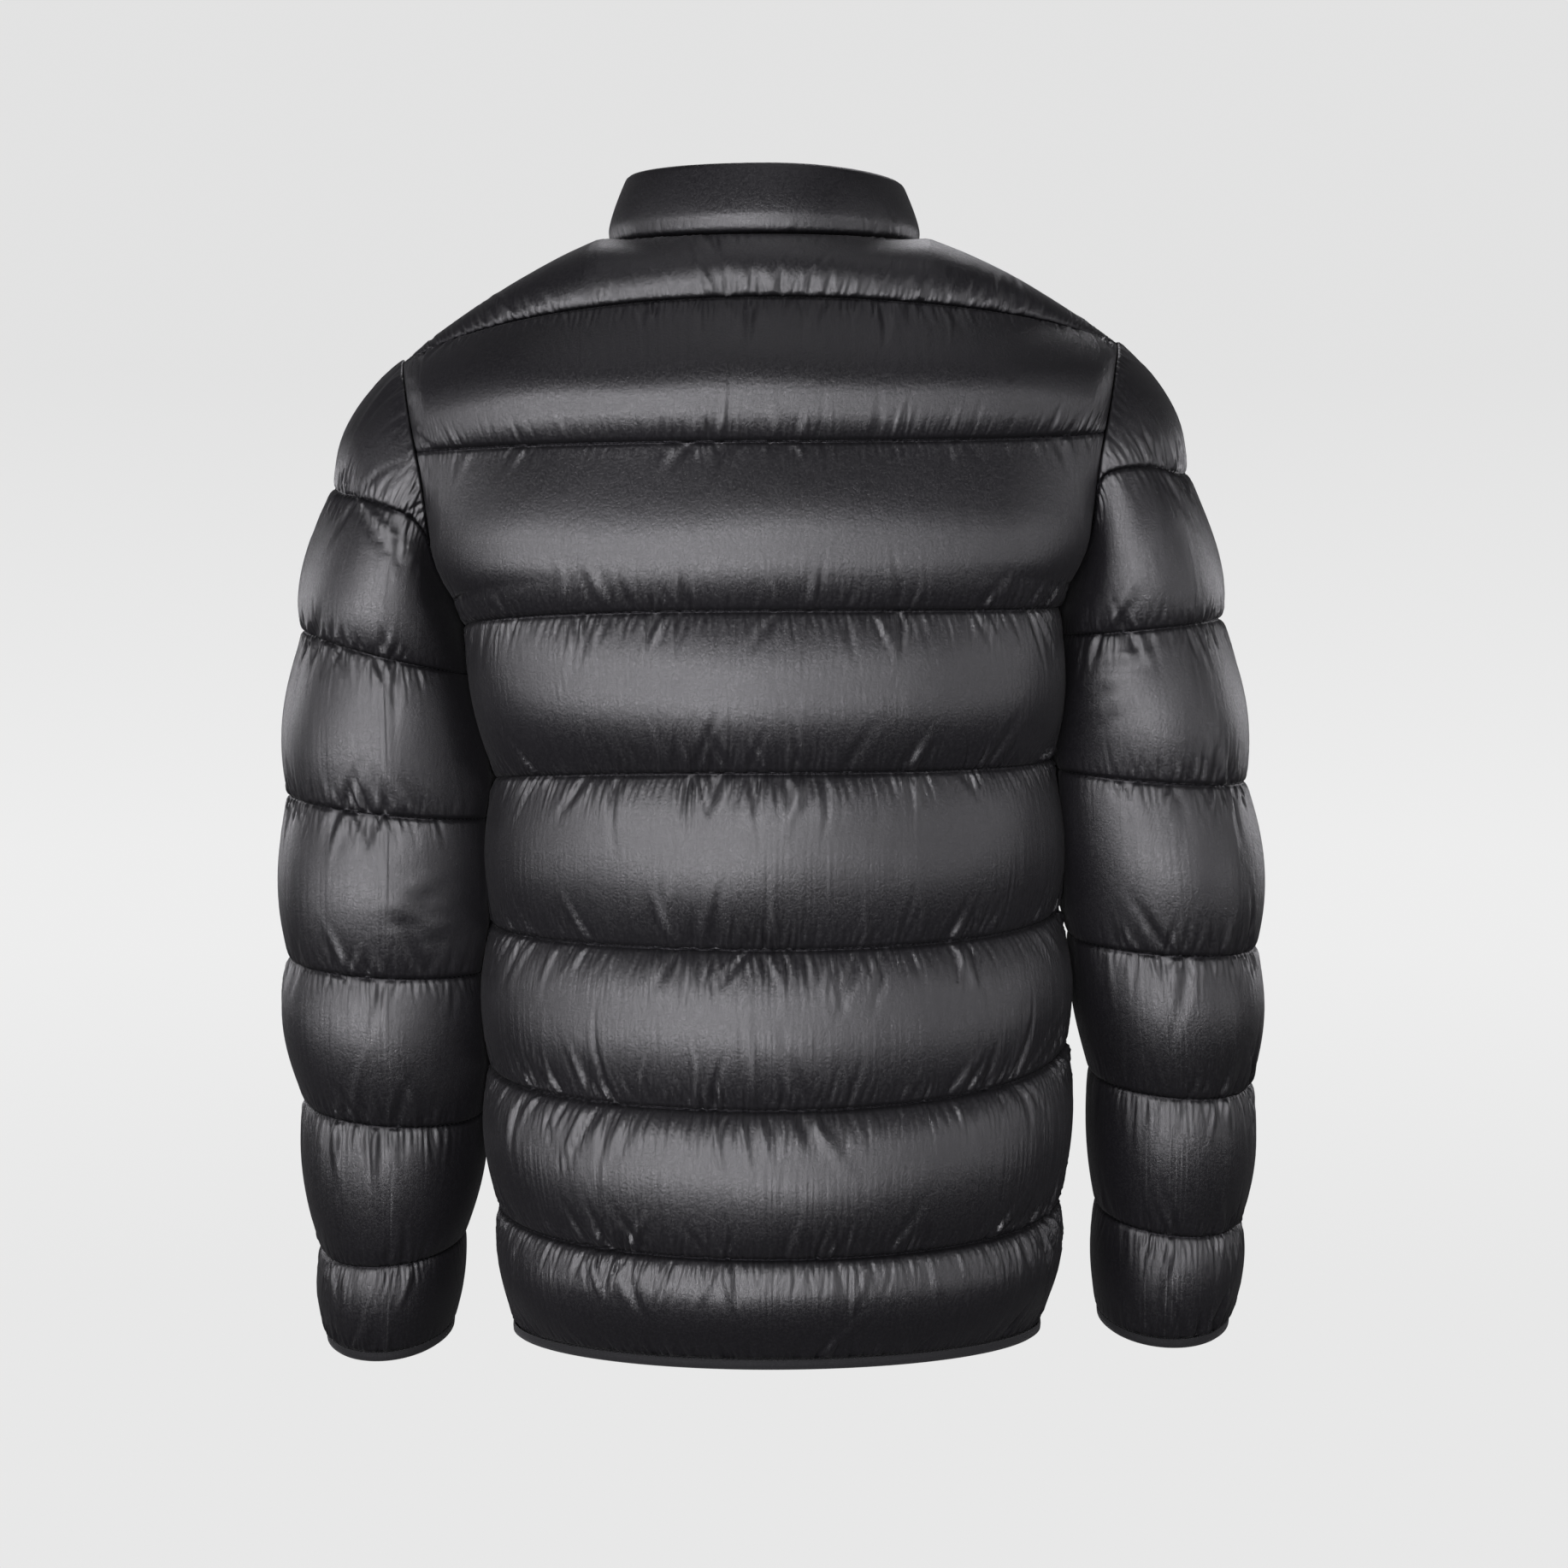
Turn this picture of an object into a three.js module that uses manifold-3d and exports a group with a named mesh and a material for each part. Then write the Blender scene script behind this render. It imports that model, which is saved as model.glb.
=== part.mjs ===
// Quilted puffer jacket, filled out as if worn and open inside, in millimetres.
// The front faces -Y and the wearer's left side is +X. The origin lies between the
// shoulders, at the height where the jacket rests on whoever wears it.
import * as THREE from 'three';
import Module from 'manifold-3d';
import { mergeVertices } from 'three/addons/utils/BufferGeometryUtils.js';

const rad = THREE.MathUtils.degToRad;
const TAU = Math.PI * 2;
const point = (x, y, z) => new THREE.Vector3(x, y, z);

// Wall and quilting
const SEAM_WALL = 4;
const SEAM_GAP = 0.5;
const ARMHOLE_GAP = 2;
const LOFT = { back: 11, yoke: 9, front: 10, sleeve: 9, collar: 12 };
const FULL_CHANNEL = 85;
const PILLOW_POWER = 0.75;
const END_ROUNDING = 34;
const GATHER_DEPTH = 1.6;
const GATHER_REACH = 10;
const GATHERS = { back: 12, front: 4, sleeve: 5 };
const GATHER_SHIFT = 2.4;
const SLEEVE_COLUMNS = 26;
const NECK_COLUMNS = 9;
const FINE_STEPS = [0, 0.1, 0.28, 0.5, 0.72, 0.9];
const PLAIN_STEPS = [0, 0.12, 0.35, 0.65, 0.88];

// Closure, bindings and collar
const ZIP = {
  opening: 4, middle: 0.2, teeth: 3.4, tape: 16, tapeWall: 1.2, behind: 0.5, proud: 3.2,
  flatStrip: 9,
};
const BINDING = { height: 6, wall: 4.6 };
const NECK = { left: 98, right: 91, back: 80, front: 93, share: 9 / 22 };
const NECK_HEIGHT = { back: -3, side: -1, front: -68 };
const COLLAR = { back: 45, side: 44, front: 52, taper: 0.88, lift: 0.5, topWall: 5 };
const RIGHT_ARMHOLE = { widthShare: 0.948, raise: 12 };

// A row for each quilt line of the body: heights and depths at the centre back and centre
// front, and how far round the section an edge lies, in degrees
const BODY_ROWS = [
  { line: 1, zBack: -42, yBack: 94, wrapBack: 62, zFront: -70, yFront: -112, wrapFront: 60 },
  { line: 2, zBack: -131, yBack: 113, wrapBack: 62, zFront: -124, yFront: -130, wrapFront: 62 },
  { line: 3, zBack: -233, yBack: 118, wrapBack: 90, zFront: -230, yFront: -138, wrapFront: 90 },
  { line: 4, zBack: -331, yBack: 113, wrapBack: 90, zFront: -328, yFront: -130, wrapFront: 90 },
  { line: 5, zBack: -439, yBack: 108, wrapBack: 90, zFront: -424, yFront: -123, wrapFront: 90 },
  { line: 6, zBack: -537, yBack: 113, wrapBack: 90, zFront: -514, yFront: -125, wrapFront: 90 },
  { line: 7, zBack: -627, yBack: 117, wrapBack: 90, zFront: -606, yFront: -130, wrapFront: 90 },
  { line: 8, zBack: -690, yBack: 106, wrapBack: 90, zFront: -684, yFront: -126, wrapFront: 90 },
];
const UNDERARM_LINE = 2.8;
const HEM_LINE = 8;

// A row for each quilt line where it meets the side seams
const SIDE_ROWS = [
  { line: UNDERARM_LINE, xLeft: 193, zLeft: -222, xRight: 183, zRight: -210 },
  { line: 3, xLeft: 190, zLeft: -241, xRight: 180, zRight: -228 },
  { line: 4, xLeft: 172, zLeft: -338, xRight: 177, zRight: -324 },
  { line: 5, xLeft: 175, zLeft: -429, xRight: 181, zRight: -419 },
  { line: 6, xLeft: 176, zLeft: -520, xRight: 186, zRight: -503 },
  { line: 7, xLeft: 170, zLeft: -610, xRight: 182, zRight: -606 },
  { line: 8, xLeft: 161, zLeft: -687, xRight: 170, zRight: -686 },
];

// The left armhole by clock angle, from the shoulder tip over the back to the underarm and
// up the front
const ARMHOLE_ROWS = [
  { clock: 0, x: 231, y: 0, z: -74 },
  { clock: 45, x: 225, y: 45, z: -98 },
  { clock: 90, x: 214, y: 66, z: -148 },
  { clock: 135, x: 206, y: 48, z: -196 },
  { clock: 180, x: 193, y: 0, z: -222 },
  { clock: 225, x: 202, y: -46, z: -194 },
  { clock: 270, x: 208, y: -66, z: -146 },
  { clock: 315, x: 221, y: -45, z: -98 },
];
const ARMHOLE_CENTRE_Z = -148;

// Where each line of the body ends on the armhole, in degrees from the shoulder tip
const ARMHOLE_LINES = [
  { line: 0, back: 0, front: -30 },
  { line: 1, back: 12, front: 0 },
  { line: 1.5, back: 45, front: 40 },
  { line: 2, back: 78, front: 76 },
  { line: 2.4, back: 117, front: 116 },
  { line: 2.6, back: 140, front: 139 },
  { line: UNDERARM_LINE, back: 180, front: 180 },
];

// A row for each quilt line of a sleeve from the second on: the outer and inner points of the
// plain inside, the section's middle and half depth, and its tilt in degrees
const SLEEVE_ROWS = {
  left: [
    { line: 2, xOut: 294, zOut: -243, xIn: 212, zIn: -272, y: -6, depth: 62, tilt: 2 },
    { line: 3, xOut: 304, zOut: -348, xIn: 204, zIn: -362, y: -6, depth: 58, tilt: 4 },
    { line: 4, xOut: 305, zOut: -453, xIn: 203, zIn: -460, y: -10, depth: 54, tilt: 6 },
    { line: 5, xOut: 297, zOut: -546, xIn: 204, zIn: -554, y: -20, depth: 49, tilt: 9 },
    { line: 6, xOut: 288, zOut: -645, xIn: 206, zIn: -637, y: -33, depth: 44, tilt: 12 },
    { line: 7, xOut: 288, zOut: -700, xIn: 214, zIn: -695, y: -44, depth: 42, tilt: 15 },
  ],
  right: [
    { line: 2, xOut: 283, zOut: -236, xIn: 203, zIn: -246, y: -6, depth: 62, tilt: 2 },
    { line: 3, xOut: 300, zOut: -340, xIn: 203, zIn: -330, y: -6, depth: 58, tilt: 4 },
    { line: 4, xOut: 308, zOut: -446, xIn: 208, zIn: -438, y: -10, depth: 54, tilt: 6 },
    { line: 5, xOut: 306, zOut: -536, xIn: 213, zIn: -528, y: -20, depth: 49, tilt: 9 },
    { line: 6, xOut: 302, zOut: -626, xIn: 219, zIn: -617, y: -33, depth: 44, tilt: 12 },
    { line: 7, xOut: 298, zOut: -690, xIn: 221, zIn: -688, y: -44, depth: 42, tilt: 15 },
  ],
};
const CUFF_LINE = 7;
const CAP_SLOPE = 37;
const CAP_PULL = 0.6;
const CAP_LINE = { left: 124, right: 104, power: 1.2, least: 0.05, rounding: 0.05 };
const INNER_SIDE_LOFT = 0.45;
const CLEAR = { gap: 1, wall: 1 + SEAM_WALL, growth: 70, rounding: 3 };

// Zip slider and its pull tab
const SLIDER = { width: 7.2, height: 12, wall: 1.5, gap: 0.3, bridge: 2.4, ring: 2.6, eye: 1.4 };
const PULL = { width: 8, length: 26, wall: 1.4, bar: 0.8, slot: 2, slotEnd: 4.4 };
const SLIDER_SHARE = 0.72;

const FACES = {
  back: { sign: 1, z: 'zBack', y: 'yBack', wrap: 'wrapBack', inset: 0 },
  front: { sign: -1, z: 'zFront', y: 'yFront', wrap: 'wrapFront', inset: ZIP.opening },
};
const SIDES = {
  left: { sign: 1, x: 'xLeft', z: 'zLeft' },
  right: { sign: -1, x: 'xRight', z: 'zRight' },
};

// Value of a table's column at a key, on a smooth curve that never overshoots a row
function column(rows, keyName, key, name) {
  let i = 0;
  while (i < rows.length - 2 && key > rows[i + 1][keyName]) i += 1;
  const step = (k) => rows[k + 1][keyName] - rows[k][keyName];
  const slope = (k) => (rows[k + 1][name] - rows[k][name]) / step(k);
  const tangent = (k) => {
    if (k === 0) return slope(0);
    if (k === rows.length - 1) return slope(k - 1);
    const [a, b] = [slope(k - 1), slope(k)];
    return a * b > 0 ? (2 * a * b) / (a + b) : 0;
  };
  const t = THREE.MathUtils.clamp((key - rows[i][keyName]) / step(i), 0, 1);
  const [t2, t3] = [t * t, t * t * t];
  return (
    (2 * t3 - 3 * t2 + 1) * rows[i][name] +
    (t3 - 2 * t2 + t) * step(i) * tangent(i) +
    (3 * t2 - 2 * t3) * rows[i + 1][name] +
    (t3 - t2) * step(i) * tangent(i + 1)
  );
}

// Point on the curve that leaves a along its tangent and arrives at b along another
function hermite(a, leave, b, arrive, t) {
  const [t2, t3] = [t * t, t * t * t];
  return a.clone().multiplyScalar(2 * t3 - 3 * t2 + 1)
    .addScaledVector(leave, t3 - 2 * t2 + t)
    .addScaledVector(b, 3 * t2 - 2 * t3)
    .addScaledVector(arrive, t3 - t2);
}

// Smooth step from 0 at one value to 1 at another, which may be the lower of the two
function smooth(from, to, value) {
  const t = THREE.MathUtils.clamp((value - from) / (to - from), 0, 1);
  return t * t * (3 - 2 * t);
}

// The armhole table with its rows repeated past both ends, so that the seam closes smoothly
const ARMHOLE_LOOP = [-360, 0, 360].flatMap((turn) => (
  ARMHOLE_ROWS.map((row) => ({ ...row, clock: row.clock + turn }))
));

// Armhole seam on the plain inside, by clock angle
function armhole(side, clock) {
  const [x, y, z] = ['x', 'y', 'z'].map((name) => column(ARMHOLE_LOOP, 'clock', clock, name));
  if (side === 'left') return point(x, y, z);
  return point(-x * RIGHT_ARMHOLE.widthShare, y, z + RIGHT_ARMHOLE.raise);
}

// End of a body line, on the armhole above the underarm and on the side seam below it
function bodyEdge(face, side, line) {
  if (line < UNDERARM_LINE) {
    const turn = column(ARMHOLE_LINES, 'line', line, face);
    return armhole(side, face === 'back' ? turn : 360 - turn);
  }
  const { sign, x, z } = SIDES[side];
  return point(sign * column(SIDE_ROWS, 'line', line, x), 0, column(SIDE_ROWS, 'line', line, z));
}

// Point of the body's plain inside on a line, with share 0 at the centre and 1 at the edge
function bodySection(face, side, line, share) {
  const { y, z, wrap, inset } = FACES[face];
  const edge = bodyEdge(face, side, line);
  const [yMid, zMid] = [y, z].map((name) => column(BODY_ROWS, 'line', line, name));
  const angle = rad(column(BODY_ROWS, 'line', line, wrap));
  const start = inset * SIDES[side].sign;
  const rise = (Math.cos(angle * share) - Math.cos(angle)) / (1 - Math.cos(angle));
  return point(
    start + ((edge.x - start) * Math.sin(angle * share)) / Math.sin(angle),
    edge.y + (yMid - edge.y) * rise,
    zMid + (edge.z - zMid) * share * share,
  );
}

// Neckline seam, with angle 0 at the centre back and 180 degrees at the centre front
function neckline(side, angle) {
  const a = rad(angle);
  const inFront = angle > 90;
  const end = inFront ? NECK_HEIGHT.front : NECK_HEIGHT.back;
  const drop = Math.cos(a) ** 2;
  return point(
    SIDES[side].sign * NECK[side] * Math.sin(a),
    Math.cos(a) * (inFront ? NECK.front : NECK.back),
    NECK_HEIGHT.side + (end - NECK_HEIGHT.side) * drop,
  );
}

// Angle on the neckline at which a front ends beside the zip
function zipAngle(side) {
  return 180 - THREE.MathUtils.radToDeg(Math.asin(ZIP.opening / NECK[side]));
}

// Upper edge of the body: the neckline from the centre, then the shoulder seam to its tip
function topEdge(face, side, share) {
  const centre = face === 'back' ? 0 : zipAngle(side);
  if (share <= NECK.share) {
    return neckline(side, centre + (90 - centre) * (share / NECK.share));
  }
  const neckPoint = neckline(side, 90);
  return neckPoint.lerp(armhole(side, 0), (share - NECK.share) / (1 - NECK.share));
}

// Body surface between the upper edge and the first line, rounded over the shoulder
function shoulderPatch(face, side, line, share, t) {
  const a = topEdge(face, side, share);
  const b = bodySection(face, side, line, share);
  const reach = a.distanceTo(b);
  const shoulder = smooth(0, NECK.share, share);
  const { sign } = FACES[face];
  const leave = point(0, sign * (0.55 + 0.45 * shoulder), -0.8 + 0.62 * shoulder);
  const arrive = bodySection(face, side, line + 0.02, share).sub(b);
  return hermite(a, leave.setLength(reach), b, arrive.setLength(reach), t);
}

// Plain inside of the whole body: lines 0 to 1 are the yoke, and lines 1 to 8 the panels
function bodyInside(face, side, line, share) {
  if (face === 'back' && line < 1) return shoulderPatch(face, side, 1, share, line);
  if (face === 'front' && line < 2) return shoulderPatch(face, side, 2, share, line - 1);
  return bodySection(face, side, line, share);
}

// Direction square to a surface at a place, on the side that faces away from a centre
function squareTo(surface, u, v, stepU, stepV, centre) {
  const along = surface(u + stepU, v).sub(surface(u - stepU, v));
  const down = surface(u, v + stepV).sub(surface(u, v - stepV));
  const normal = along.cross(down).normalize();
  return normal.dot(surface(u, v).sub(centre)) < 0 ? normal.negate() : normal;
}

// Direction in which the collar and the pieces below it are both thick at the neckline
function neckSeamDirection(at) {
  return point(at.x, at.y, 0).setLength(0.8).add(point(0, 0, 0.6));
}

// Height of the outer cloth over the flat seam wall, inside one channel
function loftAt(loft, t, channelHeight, endDistance) {
  const full = Math.min(1, channelHeight / FULL_CHANNEL);
  const end = Math.sin(0.5 * Math.PI * THREE.MathUtils.clamp(endDistance / END_ROUNDING, 0, 1));
  return loft * full * (Math.max(0, Math.sin(Math.PI * t)) * end) ** PILLOW_POWER;
}

// Gathers that the stitching draws up beside a line
function gatherAt(t, channelHeight, endDistance, wave) {
  const reach = (Math.min(t, 1 - t) * channelHeight) / GATHER_REACH;
  const end = THREE.MathUtils.clamp(endDistance / END_ROUNDING, 0, 1);
  return GATHER_DEPTH * reach * Math.exp(1 - reach) * end * Math.cos(wave);
}

// Grid lines across the channels, each with its channel and its place in it
function channelRows(first, last, steps) {
  const rows = [];
  for (let channel = first; channel < last; channel += 1) {
    for (const t of steps) rows.push({ channel, t });
  }
  rows.push({ channel: last - 1, t: 1 });
  return rows;
}

const spread = (from, to, count) => (
  Array.from({ length: count + 1 }, (_, i) => from + ((to - from) * i) / count)
);

const everyNth = (list, step) => list.filter((_, i) => i % step === 0);

// Geometry of a closed wall from its outer grid and a coarser plain inner one. A tube's grids
// close on themselves sideways.
function wallGeometry(outerGrid, innerGrid, isTube = false) {
  const positions = [];
  const index = [];
  const place = (grid) => grid.map((row) => row.map(
    (p) => positions.push(p.x, p.y, p.z) / 3 - 1,
  ));
  const outer = place(outerGrid);
  const inner = place(innerGrid);
  const skin = (grid, turned) => {
    for (let i = 0; i + 1 < grid.length; i += 1) {
      const count = grid[i].length;
      for (let j = 0; j < (isTube ? count : count - 1); j += 1) {
        const k = (j + 1) % count;
        const [a, b, c, d] = [grid[i][j], grid[i + 1][j], grid[i + 1][k], grid[i][k]];
        index.push(...(turned ? [a, c, b, a, d, c] : [a, b, c, a, c, d]));
      }
    }
  };
  const bridge = (a, b) => {
    let [j, k] = [0, 0];
    while (j < a.length - 1 || k < b.length - 1) {
      const outerNext = (j + 1) / (a.length - 1) <= (k + 1) / (b.length - 1) + 1e-9;
      if (j < a.length - 1 && (outerNext || k === b.length - 1)) {
        index.push(a[j], a[j + 1], b[k]);
        j += 1;
      } else {
        index.push(a[j], b[k + 1], b[k]);
        k += 1;
      }
    }
  };
  const top = (grid) => (isTube ? [...grid[0], grid[0][0]] : grid[0]);
  const bottom = (grid) => {
    const row = grid[grid.length - 1];
    return isTube ? [row[0], ...[...row].reverse()] : [...row].reverse();
  };
  skin(outer, false);
  skin(inner, true);
  bridge(top(outer), top(inner));
  bridge(bottom(outer), bottom(inner));
  if (!isTube) {
    bridge(outer.map((row) => row[row.length - 1]), inner.map((row) => row[row.length - 1]));
    bridge(outer.map((row) => row[0]).reverse(), inner.map((row) => row[0]).reverse());
  }
  return facingOut(positions, index);
}

// Indexed geometry whose triangles are turned to face out of the solid
function facingOut(positions, index) {
  const corner = (i) => point(...positions.slice(3 * index[i], 3 * index[i] + 3));
  let volume = 0;
  for (let i = 0; i < index.length; i += 3) {
    volume += corner(i).dot(corner(i + 1).cross(corner(i + 2)));
  }
  const geometry = new THREE.BufferGeometry();
  geometry.setAttribute('position', new THREE.Float32BufferAttribute(positions, 3));
  geometry.setIndex(volume > 0 ? index : index.reverse());
  return geometry;
}

// Each body piece: its lines, its grid, its loft and its gathers
const BODY_PIECES = {
  back: {
    face: 'back', from: 1, to: 8, columns: 44, loft: LOFT.back, waves: GATHERS.back / 2,
    steps: FINE_STEPS, meetsNeck: false,
  },
  yoke: {
    face: 'back', from: 0, to: 1, columns: 44, loft: LOFT.yoke, waves: GATHERS.back / 2,
    steps: FINE_STEPS, meetsNeck: true,
  },
  front: {
    face: 'front', from: 1, to: 8, columns: 22, loft: LOFT.front, waves: GATHERS.front,
    steps: PLAIN_STEPS, meetsNeck: true,
  },
};
const HALF_GIRTH = 270;

// A panel of the body. Its columns run over shares of the half girth, below 0 on the wearer's
// right where the panel spans the back.
function bodyPiece(piece, frontSide = null) {
  const { face, from, to, columns, loft, waves, meetsNeck } = piece;
  const inside = (share, line) => {
    if (frontSide) return bodyInside(face, frontSide, line, share);
    return bodyInside(face, share < 0 ? 'right' : 'left', line, Math.abs(share));
  };
  const half = SEAM_GAP / 2;
  const heightAt = (share, channel) => inside(share, channel).distanceTo(inside(share, channel + 1));
  const lineOf = ({ channel, t }, share) => {
    const trim = half / heightAt(share, channel);
    return THREE.MathUtils.clamp(channel + t, from + trim, to === HEM_LINE ? to : to - trim);
  };
  const outside = (share, row) => {
    const line = lineOf(row, share);
    const at = inside(share, line);
    const height = heightAt(share, row.channel);
    const side = (1 - Math.abs(share)) * HALF_GIRTH;
    const zip = Math.abs(at.x) - ZIP.opening - ZIP.flatStrip;
    const end = Math.max(0, frontSide ? Math.min(side, zip) : side);
    const seam = row.t < 0.5 ? row.channel : row.channel + 1;
    const normal = squareTo(inside, share, line, 1e-3, 1e-3, point(0, 0, at.z - 60));
    const nearNeck = meetsNeck ? smooth(NECK.share + 0.12, NECK.share, Math.abs(share)) : 0;
    const seamShare = nearNeck * smooth(0.3, 0, line - from);
    const direction = normal.lerp(neckSeamDirection(at), seamShare).normalize();
    const thickness = SEAM_WALL + loftAt(loft, row.t, height, end)
      + gatherAt(row.t, height, end, TAU * waves * share + seam * GATHER_SHIFT);
    return at.addScaledVector(direction, thickness);
  };
  const rows = channelRows(from, to, piece.steps);
  const edge = 1 - half / HALF_GIRTH;
  const shares = spread(frontSide ? 0 : -1, 1, columns).map(
    (share) => THREE.MathUtils.clamp(share, -edge, edge),
  );
  const outer = rows.map((row) => shares.map((share) => outside(share, row)));
  const inner = everyNth(rows, piece.steps.length).map((row) => (
    shares.map((share) => inside(share, lineOf(row, share)))
  ));
  return wallGeometry(outer, inner);
}

// Sleeve seam round the armhole, just outside the flat wall of the body
function sleeveStart(side, clock) {
  const at = armhole(side, clock);
  const face = clock <= 180 ? 'back' : 'front';
  const line = column(ARMHOLE_LINES, face, Math.min(clock, 360 - clock), 'line');
  const inside = (share, level) => bodyInside(face, side, level, share);
  const normal = squareTo(inside, 1, line, 1e-3, 1e-3, point(0, 0, at.z - 60));
  at.x += SEAM_WALL * normal.x + SIDES[side].sign * ARMHOLE_GAP;
  return at;
}

// Plain inside of a sleeve on a line from the second on, by clock angle round it
function sleeveSection(side, line, clock) {
  const row = (name) => column(SLEEVE_ROWS[side], 'line', line, name);
  const a = rad(clock);
  const [across, depth] = [Math.cos(a), row('depth') * Math.sin(a)];
  const mean = (name) => (row(`${name}Out`) + row(`${name}In`)) / 2;
  const half = (name) => (row(`${name}Out`) - row(`${name}In`)) / 2;
  return point(
    SIDES[side].sign * (mean('x') + half('x') * across),
    row('y') + depth,
    mean('z') + half('z') * across - Math.tan(rad(row('tilt'))) * depth,
  );
}

// Height of the body line that meets the side seam at a height, found between table rows
function lineAtHeight(side, height) {
  const { z } = SIDES[side];
  let i = 0;
  while (i < SIDE_ROWS.length - 2 && height < SIDE_ROWS[i + 1][z]) i += 1;
  const [a, b] = [SIDE_ROWS[i], SIDE_ROWS[i + 1]];
  return a.line + ((b.line - a.line) * (height - a[z])) / (b[z] - a[z]);
}

// Moves a point of a sleeve outwards where it would reach into the side of the body
function clearOfBody(side, at, margin) {
  const { sign, x, z } = SIDES[side];
  const below = SIDE_ROWS[0][z] - at.z;
  if (below <= 0) return at;
  const line = Math.min(lineAtHeight(side, at.z), HEM_LINE);
  const reach = column(BODY_ROWS, 'line', line, at.y > 0 ? 'yBack' : 'yFront');
  const width = column(SIDE_ROWS, 'line', line, x) * Math.sqrt(Math.max(0, 1 - (at.y / reach) ** 2));
  const limit = width + SEAM_WALL + LOFT.back * smooth(0, CLEAR.growth, below) + margin;
  const own = sign * at.x;
  at.x = (sign * (own + limit + Math.hypot(own - limit, CLEAR.rounding))) / 2;
  return at;
}

// Plain inside of a whole sleeve: lines 0 to 2 are the cap, and lines 2 to 7 the tube
function sleeveInside(side, line, clock) {
  if (line >= 2) return clearOfBody(side, sleeveSection(side, line, clock), CLEAR.wall);
  const a = sleeveStart(side, clock);
  const b = sleeveSection(side, 2, clock);
  const reach = CAP_PULL * a.distanceTo(b);
  const slope = rad(CAP_SLOPE);
  const leave = point(SIDES[side].sign * Math.cos(slope), 0, -Math.sin(slope)).setLength(reach);
  const arrive = sleeveSection(side, 2.02, clock).sub(b).setLength(reach);
  const at = hermite(a, leave, b, arrive, line / 2);
  return line > 0.3 ? clearOfBody(side, at, CLEAR.wall) : at;
}

// Level of the first quilt line of a sleeve, which runs out into the armhole seam
function capLine(side, clock) {
  const turn = Math.min(clock, 360 - clock);
  const level = 1 - (turn / CAP_LINE[side]) ** CAP_LINE.power;
  const { least, rounding } = CAP_LINE;
  return (level + least + Math.hypot(level - least, rounding)) / 2;
}

// A sleeve as a quilted tube
function sleeve(side) {
  const inside = (clock, line) => sleeveInside(side, line, clock);
  const lineOf = ({ channel, t }, clock) => {
    if (channel > 1) return channel + t;
    const first = capLine(side, clock);
    return channel === 0 ? first * t : first + (2 - first) * t;
  };
  const armholeCentre = point(0, 0, ARMHOLE_CENTRE_Z + (side === 'right' ? RIGHT_ARMHOLE.raise : 0));
  const outside = (clock, row) => {
    const line = lineOf(row, clock);
    const at = inside(clock, line);
    const across = inside((clock + 180) % 360, line);
    const height = inside(clock, lineOf({ ...row, t: 0 }, clock))
      .distanceTo(inside(clock, lineOf({ ...row, t: 1 }, clock)));
    const centre = at.clone().lerp(across, 0.5);
    const normal = squareTo(inside, clock, Math.max(line, 0.02), 0.5, 0.01, centre);
    const radial = at.clone().sub(armholeCentre).setX(0).normalize();
    const direction = radial.lerp(normal, smooth(0, 0.6, line)).normalize();
    const innerSide = smooth(-0.1, -0.85, Math.cos(rad(clock)));
    const loft = LOFT.sleeve * (1 - (1 - INNER_SIDE_LOFT) * innerSide);
    const seam = row.t < 0.5 ? row.channel : row.channel + 1;
    const wave = GATHERS.sleeve * rad(clock) + seam * GATHER_SHIFT;
    const gather = gatherAt(row.t, height, Infinity, wave) * (1 - innerSide);
    const thickness = SEAM_WALL + loftAt(loft, row.t, height, Infinity) + gather;
    const moved = at.addScaledVector(direction, thickness);
    return line > 0.3 ? clearOfBody(side, moved, CLEAR.gap) : moved;
  };
  const rows = channelRows(0, CUFF_LINE, PLAIN_STEPS);
  const clocks = spread(0, 360, SLEEVE_COLUMNS).slice(0, -1);
  const outer = rows.map((row) => clocks.map((clock) => outside(clock, row)));
  const inner = everyNth(rows, PLAIN_STEPS.length).map((row) => (
    everyNth(clocks, 2).map((clock) => inside(clock, lineOf(row, clock)))
  ));
  return wallGeometry(outer, inner, true);
}

// Plain inside of the stand collar, with share 0 at the neckline and 1 at the top
function collarInside(side, angle, share) {
  const foot = neckline(side, angle);
  const drop = Math.cos(rad(angle)) ** 2;
  const end = angle > 90 ? COLLAR.front : COLLAR.back;
  const height = COLLAR.side + (end - COLLAR.side) * drop;
  const width = 1 - (1 - COLLAR.taper) * share;
  return point(
    Math.abs(foot.x) > ZIP.opening + 1 ? foot.x * width : foot.x,
    foot.y * width,
    foot.z + COLLAR.lift + height * share,
  );
}

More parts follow.
